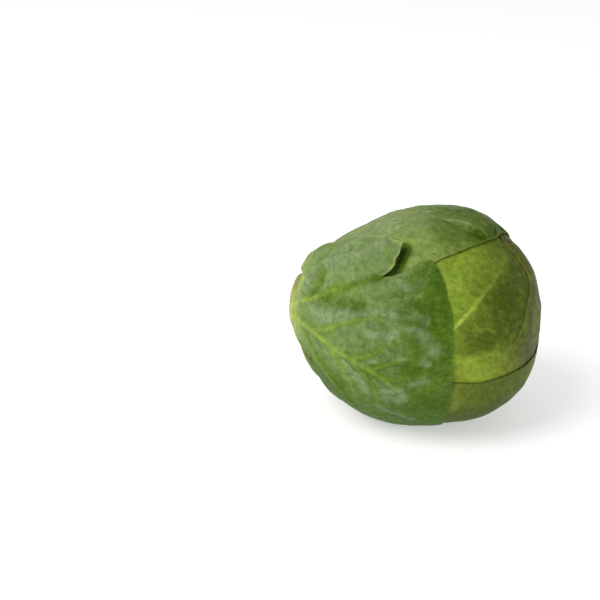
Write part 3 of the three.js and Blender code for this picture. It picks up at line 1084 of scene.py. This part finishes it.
# The crown leaf
# It wraps the crown end from below and behind. Its margin shows in front as a yellow-green band that
# turns olive-grey round the crown, with a thin brown dried line along the edge.
CROWN_MIDRIB = [(-24, 2), (-10, 1), (6, 0), (18, 1), (26, 2)]
CROWN_SWELL = 0.35  # it bellies out from under the top leaf
SWELL_START = (0.5, 3.0)  # millimetres past the top leaf's margin
SWELL_END = (10.0, 5.0)
SWELL_EDGE = (0.5, 3.5)
FRONT_PRESS = (0.13, 0.3, 0.6)  # in front its margin is pressed flush with the inner front leaf
CROWN_LIGHT = 0.15
BAND_LIGHT = 0.85  # the band is light in front, and fades round the crown's end
BAND_CROWNWARD = (1.0, 0.55)
BAND_FORWARD = (0.1, 0.6)
FRONT_LIGHT = (0.25, 0.2, 0.5)
CROWN_VEINS = 0.7
CROWN_WAX = 0.1
DRIED_LINE = 0.6
DRIED_WIDTH = 0.28
DRIED_HEIGHT = (0.2, 0.5)  # only the upper part of the margin has dried
leaf, spot = flat_leaf("crown_leaf", outer_blanks["crown"], cells=180, seed=111)
veins = pinnate(CROWN_MIDRIB, pairs=5, length=18, lean=58, shade=0.3)
past_top = outer_blanks["top"].beyond(spot.d)
beside_top = smooth(past_top, *SWELL_START) * smooth(past_top, *SWELL_END)
wrap_leaf(
    leaf,
    spot,
    covering("crown"),
    veins,
    seed=112,
    lift=CROWN_SWELL * beside_top * smooth(spot.edge, *SWELL_EDGE),
    room=room_under("crown", spot.d),
    gap=-MARGIN_GAP - ramp(-spot.d[:, 1], *FRONT_PRESS),
)
in_band = smooth(spot.d[:, 0], *BAND_CROWNWARD) * smooth(-spot.d[:, 1], *BAND_FORWARD)
finish_blade(
    leaf,
    spot,
    light=CROWN_LIGHT + BAND_LIGHT * in_band + ramp(-spot.d[:, 1], *FRONT_LIGHT),
    vein=CROWN_VEINS * spot.shade,
    base=smooth(spot.to_stem, *BASE_SPREAD),
    bloom=CROWN_WAX * (1 - in_band) * smooth(spot.nearest, *WAX_FROM_VEIN),
    margin=DRIED_LINE * bell(spot.edge, DRIED_WIDTH) * smooth(spot.d[:, 2], *DRIED_HEIGHT),
)
crown_finish = leaf_finish(
    "olive crown leaf",
    deep=seen(72, 78, 28),
    light=seen(136, 156, 50),
    vein=seen(150, 164, 70),
    base=seen(196, 198, 110),
    wax=seen(128, 132, 96),
    margin=seen(146, 128, 70),
)
dress(leaf, crown_finish, "leaf_crown")

# The back leaf
# The leaf on the far side, laid over the crown leaf's back edge and held under the top and under
# leaves. It is mid-green with pale veins and a thin coat of wax.
BACK_MIDRIB = [(-21, -1), (-8, 0.4), (6, 0), (17, -1)]
BACK_LIGHT = 0.35
BACK_BASE_LIGHT = (0.3, 100, 30)  # how much, and over which degrees from the stem
BACK_WAX = 0.3
OUTER_WAX_FROM_VEIN = (0.3, 1.6)  # millimetres, here and on the under leaf
leaf, spot = flat_leaf("back_leaf", outer_blanks["back"], cells=150, seed=121)
veins = pinnate(BACK_MIDRIB, pairs=5, length=16, lean=60)
wrap_leaf(leaf, spot, covering("back"), veins, seed=122, room=room_under("back", spot.d))
finish_blade(
    leaf,
    spot,
    light=BACK_LIGHT + ramp(spot.to_stem, *BACK_BASE_LIGHT),
    vein=spot.shade,
    base=smooth(spot.to_stem, *BASE_SPREAD),
    bloom=BACK_WAX * smooth(spot.nearest, *OUTER_WAX_FROM_VEIN),
    margin=MARGIN_TINT * bell(spot.edge, MARGIN_LINE),
)
back_finish = leaf_finish(
    "mid-green back leaf",
    deep=seen(70, 94, 22),
    light=seen(110, 134, 54),
    vein=seen(146, 164, 80),
    base=seen(176, 186, 100),
    wax=seen(146, 160, 122),
    margin=seen(150, 156, 88),
)
dress(leaf, back_finish, "leaf_back")

# The under leaf
# A dark leaf that cups the sprout from below. Only its upper edge shows in front, as a thin dark seam
# on the crown leaf, and it wraps on under the sprout, to the stem and up the back.
UNDER_MIDRIB = [(-22, 0), (-8, -0.6), (8, 0.4), (22, 0)]
UNDER_SWELL = (0.3, 0.5, 6.0)  # it bellies out towards the crown
UNDER_SWELL_EDGE = (0, 5)
UNDER_LUMPS = 0.3
# A bay in the front leaf, where that narrows to its stalk below the midrib. This leaf fills it.
BASE_BAY = [
    (-18.6, -4.2),
    (-13.8, -4.1),
    (-11.7, -3.3),
    (-10.1, -3.6),
    (-9.4, -5.0),
    (-9.6, -6.8),
    (-9.8, -9.0),
    (-10.8, -13.0),
    (-14.0, -18.0),
    (-18.0, -23.0),
    (-30.0, -14.0),
]
BAY_RIM = 0.25  # at the bay it comes up to the front leaf
BAY_SWELL = 0.6
BAY_SLOPE = 2.5
SEAM_GAP = 0.1  # the margin stands off a little, which shows as a dark seam
SMEAR = [(13.6, 20.0), (12.6, 18.4), (11.5, 16.5)]  # a pale streak beside the front leaf
SMEAR_WIDTH = 0.9
SMEAR_LIGHT = 0.8
SMEAR_WAX = 0.3
UNDER_LIGHT = 0.75
# Painted shade: the leaf is painted darker where it faces down, towards the table
PAINTED_UNDERSIDE_SHADE = 0.75  # it is darker where it faces down
BELOW = (0.25, 0.7)
UNDER_CROWN_SHADE = (0.25, 0.5, 0.9)
# Painted light: in the bay, which faces down and away from the lamps, the leaf is painted a little
# lighter
PAINTED_BAY_LIGHT = 0.1
BAY_BASE = 0.1
UNDER_VEINS = 0.8
UNDER_BASE = (0.5, 30, 12)  # how pale, and over which degrees from the stem
UNDER_WAX = 0.15
UNDER_MARGIN = 0.5
UNDER_MARGIN_LINE = 0.3
leaf, spot = flat_leaf("under_leaf", outer_blanks["under"], cells=180, seed=131)
veins = pinnate(UNDER_MIDRIB, pairs=5, length=19, lean=60, height=0.06, shade=0.4, rib=0.15)
past_front = outer_blanks["front"].beyond(spot.d)
low_swell = ramp(past_front, *UNDER_SWELL) * smooth(spot.edge, *UNDER_SWELL_EDGE)
front_along, front_across = outer_blanks["front"].lay_flat(spot.d)
_, _, from_rim = nearest_on(front_along, front_across, BASE_BAY)
from_rim *= np.where(inside(front_along, front_across, BASE_BAY), 1, -1)
in_bay = smooth(from_rim, 0.0, BAY_SLOPE)
low_swell += BAY_RIM * smooth(from_rim, -BAY_SLOPE, 0.0) + BAY_SWELL * in_bay
wrap_leaf(
    leaf,
    spot,
    covering("under"),
    veins,
    seed=132,
    lift=low_swell,
    room=room_under("under", spot.d),
    lumpy=UNDER_LUMPS,
    gap=SEAM_GAP,
)
underneath = smooth(-spot.d[:, 2], *BELOW)
smear = stroke(spot, SMEAR, SMEAR_WIDTH)
finish_blade(
    leaf,
    spot,
    light=UNDER_LIGHT
    - PAINTED_UNDERSIDE_SHADE * underneath
    - ramp(spot.d[:, 0], *UNDER_CROWN_SHADE)
    + SMEAR_LIGHT * smear
    + PAINTED_BAY_LIGHT * in_bay,
    vein=UNDER_VEINS * spot.shade,
    base=ramp(spot.to_stem, *UNDER_BASE) + BAY_BASE * in_bay,
    bloom=UNDER_WAX * smooth(spot.nearest, *OUTER_WAX_FROM_VEIN) * (1 - underneath) + SMEAR_WAX * smear,
    margin=UNDER_MARGIN * bell(spot.edge, UNDER_MARGIN_LINE),
)
under_finish = leaf_finish(
    "dark under leaf",
    deep=seen(62, 80, 8),
    light=seen(104, 121, 36),
    vein=seen(132, 148, 70),
    base=seen(150, 164, 80),
    wax=seen(122, 130, 92),
    margin=seen(84, 92, 40),
)
dress(leaf, under_finish, "leaf_under")

# The top leaf
# A broad leaf over the top of the head, partly under the front leaf's torn flap. It is pale and waxy
# towards the stem, darker towards the crown, and puckered near its crown end along a sharp crease.
# Painted shade darkens it below the crease and beside the flap's torn edge, and a painted highlight,
# partly wax, lies along the pucker's lip.
TOP_MIDRIB = [(-20, 0), (-8, 0.8), (4, 0.2), (14, -1)]
LOWER_SIDE_VEIN = [(-8, -12.4), (-3.9, -14.7), (-0.1, -16.3), (3.2, -16.6), (6.5, -15.0), (9.2, -13.1)]
VEIN_BY_TEAR = [(2.4, -16.6), (3.6, -16.8), (5.7, -17.0), (6.7, -18.3), (6.0, -20.1)]
CREASE = (
    (6.0, -9.8),
    (8.7, -10.0),
    (11.1, -10.3),
    (13.0, -10.3),
    (14.8, -9.7),
    (16.1, -9.0),
    (17.5, -8.2),
)
PUCKER_HEIGHT = 1.0
PUCKER_RISE = 0.4  # it rises within this from the crease
PUCKER_WIDTH = 5.0
PUCKER_ALONG = (8.0, 12.0)
PUCKER_EDGE = (0.2, 2.2)
VALLEY_DEPTH = 0.12
VALLEY_PLACE = 0.55  # below the crease
VALLEY_WIDTH = 0.7
CORNER_SINK = 0.4  # over the crown it lies closer to the head
CORNER_ALONG = (12.5, 17.0)
CORNER_ACROSS = (-9.0, -3.0)
CORNER_GAP = 0.3
WIDER_SEAM = (0.14, 7.0, 11.0)  # how much the seam widens, and over which range along the leaf
# Where the front leaf's torn flap shades it
FLAP_SHADE = [(2.9, -18.2), (2.2, -20.4), (1.2, -22.4), (-0.5, -23.3)]
FLAP_SHADE_WIDTH = 1.3
FLAP_SHADE_SINK = 0.25
FLAP_SHADE_DARK = 2.6
TOP_LIGHT = 0.8
TOP_CROWN_SHADE = 0.65
TOP_CROWNWARD = (78, 118)  # degrees from the stem
CORNER_LIGHT = 0.55  # the corner by the tear is pale
PALE_ACROSS = (12, 17)
PALE_ALONG = (11.5, 5.5)
# Painted shade: a dark wedge below the crease, where the pucker overhangs it, with no wax in it
PAINTED_CREASE_SHADE = 1.1  # a dark wedge lies just below the crease
CREASE_SHADE_PLACE = 0.45
CREASE_SHADE_WIDTH = 0.6
CREASE_SHADE_ALONG = (11.5, 14.5)
STRIP_LIGHT = 0.5  # a clear green strip runs along the margin in front
STRIP_WIDTH = 3.0
STRIP_START = (6.0, 9.0)
STRIP_END = (15.0, 12.0)
STRIP_BARE = 0.8
TOP_WAX = 0.78
TOP_CROWN_WAX = 0.62
TEAR_BARE = (0.3, 13, 18)  # there is less wax by the tear
TOP_WAX_FROM_VEIN = (0.2, 1.5)
# The pale line along the pucker's lip is partly wax and partly a painted highlight, where it turns to
# the light
LIP_WAX_AND_HIGHLIGHT = 0.75  # the pucker's lip has a pale waxy line
LIP_PLACE = 0.4
LIP_WIDTH = 0.2
LIP_START = (7.6, 9.0)
LIP_END = (16.2, 14.5)
leaf, spot = flat_leaf("top_leaf", outer_blanks["top"], cells=200, seed=141)
veins = pinnate(TOP_MIDRIB, pairs=5, length=17, lean=62, shade=0.4)
veins.append(Vein(LOWER_SIDE_VEIN, 0.6, 0.16, 0.6))
veins.append(Vein(VEIN_BY_TEAR, 0.5, 0.12, 0.5))
above_crease = spot.across - line_at(CREASE, spot.along)
puckered = smooth(spot.along, *PUCKER_ALONG) * smooth(spot.edge, *PUCKER_EDGE)
pucker = puckered * smooth(above_crease, 0.0, PUCKER_RISE)
pucker *= bell(np.maximum(above_crease, 0), PUCKER_WIDTH)
valley = puckered * bell(above_crease + VALLEY_PLACE, VALLEY_WIDTH)
corner = smooth(spot.along, *CORNER_ALONG) * smooth(spot.across, *CORNER_ACROSS)
flap_shade = stroke(spot, FLAP_SHADE, FLAP_SHADE_WIDTH)
wrap_leaf(
    leaf,
    spot,
    covering("top"),
    veins,
    seed=142,
    lift=PUCKER_HEIGHT * pucker
    - VALLEY_DEPTH * valley
    - CORNER_SINK * corner
    - FLAP_SHADE_SINK * flap_shade,
    room=room_under("top", spot.d) - CORNER_SINK * corner,
    gap=SEAM_GAP + ramp(spot.along, *WIDER_SEAM) - CORNER_GAP * corner,
)
towards_crown = smooth(spot.to_stem, *TOP_CROWNWARD)
pale_corner = smooth(-spot.across, *PALE_ACROSS) * smooth(spot.along, *PALE_ALONG)
# Painted shade under the crease
crease_shade = smooth(spot.along, *CREASE_SHADE_ALONG) * bell(above_crease + CREASE_SHADE_PLACE, CREASE_SHADE_WIDTH)
strip = bell(spot.edge, STRIP_WIDTH) * smooth(spot.along, *STRIP_START) * smooth(spot.along, *STRIP_END)
# The pucker's lip: wax and a painted highlight
lip = bell(above_crease - LIP_PLACE, LIP_WIDTH)
lip *= smooth(spot.along, *LIP_START) * smooth(spot.along, *LIP_END)
wax = TOP_WAX - TOP_CROWN_WAX * towards_crown - ramp(-spot.across, *TEAR_BARE)
finish_blade(
    leaf,
    spot,
    light=TOP_LIGHT
    - TOP_CROWN_SHADE * towards_crown
    + CORNER_LIGHT * pale_corner
    - PAINTED_CREASE_SHADE * crease_shade
    - FLAP_SHADE_DARK * flap_shade
    + STRIP_LIGHT * strip,
    vein=spot.shade * (1 - flap_shade),
    base=smooth(spot.to_stem, *BASE_SPREAD),
    bloom=wax * smooth(spot.nearest, *TOP_WAX_FROM_VEIN)
    + LIP_WAX_AND_HIGHLIGHT * lip
    - flap_shade
    - crease_shade
    - STRIP_BARE * strip,
    margin=MARGIN_TINT * bell(spot.edge, MARGIN_LINE),
)
top_finish = leaf_finish(
    "waxy top leaf",
    deep=seen(64, 90, 8),
    light=seen(128, 148, 74),
    vein=seen(150, 166, 86),
    base=seen(176, 186, 100),
    wax=seen(144, 158, 116),
    margin=seen(120, 132, 62),
)
dress(leaf, top_finish, "leaf_top")

# The front leaf
# The outermost leaf, from the stem round the front. Its midrib and side veins spread from the pale
# base, and wax lies in patches between them. Its upper edge is torn, and the flap stands off the head.
# Painted shade darkens its hollows, troughs and lower part, and painted highlights lie on the crests
# of its narrow folds and along the flap's rim.
TORN_PIECE = [
    (1.2, 16.3),
    (2.5, 16.7),
    (3.1, 16.9),
    (3.9, 17.3),
    (4.6, 17.7),
    (5.4, 18.4),
    (6.5, 19.2),
    (7.8, 20.1),
    (9.6, 20.7),
    (11.0, 24.0),
    (6.0, 28.0),
    (3.6, 24.4),
    (3.2, 22.6),
    (3.1, 21.2),
    (3.3, 20.2),
    (3.0, 19.4),
    (3.1, 18.7),
    (2.7, 17.8),
    (2.0, 17.0),
]
MIDRIB = [
    (-19.5, 1.0),
    (-15.8, 2.6),
    (-11.1, 3.9),
    (-7.1, 4.3),
    (-2.4, 3.6),
    (0.7, 2.8),
    (3.6, 2.0),
    (6.7, -0.2),
    (11, -4),
]
# The side veins: width, height and paleness, then the route
SIDE_VEINS = [
    (0.8, 0.5, 1.0,
     [(-17.5, 2.8), (-15.3, 4.3), (-13.5, 6.1), (-9.8, 8.8), (-7.1, 11.0), (-3.5, 13.3)]),
    (0.7, 0.4, 0.1,
     [(-7.1, 11.0), (-4.6, 12.6), (-2.6, 13.8), (-0.6, 15.1), (1.5, 16.2)]),
    (0.6, 0.22, 0.38,
     [(-7.4, 4.3), (-4.1, 6.4), (-1.0, 8.5), (2.7, 10), (5.3, 10.1), (7.1, 9.9), (10.5, 10.3)]),
    (0.5, 0.14, 0.35,
     [(0.2, 2.9), (3.6, 4.7), (5.9, 6.6), (8.5, 7.8), (10.8, 8.6)]),
    (0.45, 0.1, 0.3,
     [(3.4, 2.0), (6.2, 3.5), (8.7, 4.4), (10.8, 5.8)]),
    (0.45, 0.1, 0.25,
     [(4.6, 1.2), (7.9, 1.1), (10.9, 1.7), (12.9, 2.1)]),
    (0.5, 0.16, 0.4,
     [(-7.4, 4.3), (-4.0, 3.0), (-1.9, 1.4), (-0.1, -0.8), (0.3, -3.4), (0.2, -7.0)]),
    (0.5, 0.18, 0.4,
     [(-13.4, 3), (-9.7, 2), (-7.7, 0.6), (-5.4, -1.2), (-3.3, -3.2), (-1.6, -6.6), (-1, -11)]),
    (0.45, 0.14, 0.35,
     [(-0.6, 3.1), (2.3, 1.0), (4.0, -1.3), (4.2, -4.5), (3.8, -8.5)]),
    (0.5, 0.2, 0.4,
     [(-17.0, 1.2), (-12.5, -1.5), (-9.5, -4.5), (-7.0, -9.0), (-6.0, -14.0)]),
]
# The line that the flap stands up from
FLAP_LINE = (
    (-15.3, 4.3),
    (-13.5, 6.1),
    (-9.8, 8.8),
    (-7.1, 11.0),
    (-2.6, 13.8),
    (1.5, 16.2),
    (5.0, 18.2),
)
FLAP_START = (0.2, 1.4)
FLAP_END = (3.4, 4.2)  # it ends at the tear
FLAP_LIFT = (1.6, 0.0, 5.0)  # how much, and over which distance from the line
FLAP_PEAK = 3.0  # it stands highest this far along the leaf
FLAP_LENGTH = 9.0
FLAP_TOP_LIFT = (0.55, 3.0, 8.0)
FLAP_SEED = 160
FLAP_CRUMPLE_SIZE = 2.8
FLAP_CRUMPLE_HEIGHT = 0.11
FLAP_RIDGE = [
    (-13.4, 8.0),
    (-13.3, 10.2),
    (-12.8, 12.6),
    (-9.0, 15.3),
    (-5.2, 17.0),
    (-2.7, 18.1),
    (-0.1, 20.8),
]
FLAP_HOLLOW = [(-11.3, 13.0), (-11.0, 11.0), (-11.2, 9.0)]
FLAP_WRINKLE = [(-9.9, 17.1), (-7.6, 18.8), (-5.5, 20.7)]
FLAP_ROOT = [(-8.6, 9.8), (-4.6, 12.6), (-2.6, 13.8), (-0.6, 15.1), (1.4, 16.3)]
FLAP_SHOULDER = [(-18.4, 10.0), (-19.0, 11.5), (-18.2, 13.5), (-16.0, 16.0)]
BASE_CREVICE = [(-19.2, 7.4), (-17.2, 8.3), (-15.4, 8.5)]
# Folds and hollows of the blade: their line, width and height
FOLDS = [
    (FLAP_RIDGE, 0.9, 0.85),
    (FLAP_HOLLOW, 1.1, -0.75),
    (FLAP_WRINKLE, 0.9, 0.25),
    (FLAP_ROOT, 0.55, -0.3),
    (FLAP_SHOULDER, 2.4, 0.9),
    (BASE_CREVICE, 0.8, -0.7),
]
# The pale crest of a narrow fold is partly wax and partly a painted highlight
SHARP_FOLD = 2.0  # folds narrower than this have a pale waxy crest
CELL_HOLLOW = [(-7.8, 9.3), (-5.2, 10.0), (-3.2, 10.5), (-1.3, 10.9), (0.1, 11.0)]
CELL_HOLLOW_WIDTH = 1.35
CELL_HOLLOW_DEPTH = 0.6
FRONT_LUMPS = 1.6
FRONT_GAP = 0.07
SCUFFS = [[(4.6, 13.3), (6.2, 13.7)], [(8.6, 14.2), (9.4, 15.2)], [(6.9, 4.3), (8.7, 4.7)]]
SCUFF_WIDTH = 0.18
SCUFF_PALE = 0.35
# Where wax lies between the veins: a stroke's start and end, its width and how thick it is
WAX_STROKES = [
    ((-9.4, 6.9), (-2.1, 9.2), 2.0, 1.0),
    ((-7.6, 6.4), (-2.6, 8.0), 1.1, 1.0),
    ((-2.6, 8.6), (0.9, 10.5), 1.3, 0.9),
    ((-2.6, 6.5), (0.0, 7.4), 1.0, 0.75),
    ((2.5, 7.5), (6.8, 8.1), 1.2, 0.9),
    ((4.9, 11.2), (6.0, 10.9), 0.9, 0.8),
    ((1.8, 3.9), (4.0, 3.4), 0.8, 0.9),
    ((-1.2, 1.9), (1.4, -0.4), 1.2, 1.0),
    ((1.4, -0.4), (2.1, -2.4), 1.2, 1.0),
    ((5.1, -1.9), (8.0, -1.4), 1.0, 0.95),
    ((8.0, -1.6), (8.0, -3.3), 1.0, 1.0),
    ((5.4, -3.6), (7.4, -3.2), 1.5, 0.8),
    ((7.7, 9.4), (10.2, 9.0), 1.3, 0.65),
    ((10.2, 9.0), (12.9, 6.0), 1.4, 0.75),
    ((11.4, 4.2), (11.8, 4.0), 0.9, 0.9),
    ((9.9, 0.4), (11.5, 1.0), 1.0, 0.7),
    ((-6.1, 3.1), (-4.6, 1.9), 1.0, 0.8),
    ((-0.5, 13.7), (4.3, 15.4), 1.3, 0.6),
    ((5.4, 15.6), (7.2, 11.4), 1.7, 0.45),
    ((4.6, 6.4), (6.0, 6.0), 1.4, 0.4),
    ((1.2, 11.2), (4.2, 11.2), 1.1, 0.85),
    ((9.0, 11.4), (11.0, 10.6), 1.1, 0.6),
    ((4.6, 16.4), (6.6, 15.6), 1.0, 0.8),
    ((-7.4, 2.6), (-6.4, 1.4), 0.9, 0.8),
    ((3.4, -6.0), (8.4, -9.8), 0.7, 0.8),
]
FLAP_WAX = 0.6
FLAP_TIP_BARE = (0.25, -4.0, 3.0)
# A thin coat of wax lies over the rest, thinner by the right-hand edge and low down
LEAST_WAX = 0.08
THIN_WAX = (0.48, -13.0, -4.0)
LOW_BARE = (0.5, 0.0, 5.0)
FRONT_WAX_FROM_VEIN = (0.25, 1.4)
HOLLOW_BARE = 0.45
CREST_WAX_AND_HIGHLIGHT = 0.45
TROUGH_BARE = 0.5
DOWN_BARE = 0.6
# How light the blade is, and what makes it lighter or darker: painted shade darkens its hollows, its
# folds' troughs, its lower part and where it turns down below the midrib
TIP_LIGHT = 0.15
STEM_LIGHT = (0.6, -11, 5)
PAINTED_LOW_SHADE = (0.32, 1.0, 9.0)
FLAP_LIGHT = 0.1
PAINTED_HOLLOW_SHADE = 0.5
PAINTED_TROUGH_SHADE = 0.4
PAINTED_DOWN_SHADE = 0.8  # where the blade turns down below the midrib, by the stem
DOWN_ACROSS = (1.0, 9.0)
DOWN_ALONG = (-1.0, 4.0)
FRONT_VEINS = 0.85
FRONT_BASE = (0.82, 43, 15)  # how pale, and over which degrees from the stem
FRONT_MARGIN = 0.05
# The flap's rim is pale: partly the torn tissue's own colour and partly a painted highlight
TORN_RIM_PALE_AND_HIGHLIGHT = 0.8
FRONT_MARGIN_LINE = 0.3
leaf, spot = flat_leaf(
    "front_leaf", outer_blanks["front"], cells=220, seed=151, torn=(TORN_PIECE, BASE_BAY)
)
veins = [Vein(MIDRIB, 0.95, 0.5, 0.95)]
veins += [Vein(route, width, height, shade) for width, height, shade, route in SIDE_VEINS]
above_line = spot.across - line_at(FLAP_LINE, spot.along)
on_flap = smooth(above_line, *FLAP_START) * (1 - smooth(spot.along, *FLAP_END))
lift = ramp(above_line, *FLAP_LIFT) * bell(spot.along - FLAP_PEAK, FLAP_LENGTH)
lift += ramp(above_line, *FLAP_TOP_LIFT)
crest, trough = np.zeros(len(spot.d)), np.zeros(len(spot.d))
for route, width, height in FOLDS:
    fold = stroke(spot, route, width)
    lift += height * fold
    if height < 0:
        trough = np.maximum(trough, fold)
    elif width < SHARP_FOLD:
        crest = np.maximum(crest, fold)
hollow = stroke(spot, CELL_HOLLOW, CELL_HOLLOW_WIDTH)
lift -= CELL_HOLLOW_DEPTH * hollow
lift += on_flap * ripple(spot.d * arc_radius, FLAP_SEED, FLAP_CRUMPLE_SIZE, FLAP_CRUMPLE_HEIGHT)
_, _, from_rim = nearest_on(spot.along, spot.across, BASE_BAY)
room = room_under("front", spot.d) - BAY_RIM * smooth(from_rim, BAY_SLOPE, 0.0)
wrap_leaf(
    leaf,
    spot,
    covering("front"),
    veins,
    seed=152,
    lift=lift,
    room=room,
    lumpy=FRONT_LUMPS,
    gap=FRONT_GAP,
)
patches = np.zeros(len(spot.d))
for start, end, width, thick in WAX_STROKES:
    patches = np.maximum(patches, thick * stroke(spot, (start, end), width))
flap_wax = on_flap * (FLAP_WAX - ramp(spot.along, *FLAP_TIP_BARE))
thin_wax = ramp(-spot.along, *THIN_WAX)
thin_wax *= 1 - ramp(-spot.across, *LOW_BARE)
wax = np.max([patches, flap_wax, LEAST_WAX + thin_wax], axis=0)
scuffed = np.max([stroke(spot, route, SCUFF_WIDTH) for route in SCUFFS], axis=0)
below_midrib = line_at(MIDRIB, spot.along) - spot.across
turned_down = smooth(below_midrib, *DOWN_ACROSS) * smooth(-spot.along, *DOWN_ALONG)
finish_blade(
    leaf,
    spot,
    # Painted shade in the hollows and troughs, low down and where the blade turns down
    light=TIP_LIGHT
    + ramp(-spot.along, *STEM_LIGHT)
    - ramp(-spot.across, *PAINTED_LOW_SHADE)
    + FLAP_LIGHT * on_flap
    - PAINTED_HOLLOW_SHADE * hollow
    - PAINTED_TROUGH_SHADE * trough
    - PAINTED_DOWN_SHADE * turned_down,
    vein=np.maximum(FRONT_VEINS * spot.shade, SCUFF_PALE * scuffed),
    base=ramp(spot.to_stem, *FRONT_BASE),
    bloom=wax * smooth(spot.nearest, *FRONT_WAX_FROM_VEIN) * (1 - HOLLOW_BARE * hollow)
    + CREST_WAX_AND_HIGHLIGHT * crest
    - TROUGH_BARE * trough
    - DOWN_BARE * turned_down * (1 - patches),
    margin=(FRONT_MARGIN + TORN_RIM_PALE_AND_HIGHLIGHT * on_flap) * bell(spot.edge, FRONT_MARGIN_LINE),
)
front_finish = leaf_finish(
    "mid-green front leaf",
    deep=seen(64, 94, 8),
    light=seen(112, 140, 60),
    vein=seen(152, 174, 74),
    base=seen(172, 190, 96),
    wax=seen(134, 149, 114),
    margin=seen(148, 163, 98),
)
dress(leaf, front_finish, "leaf_front")
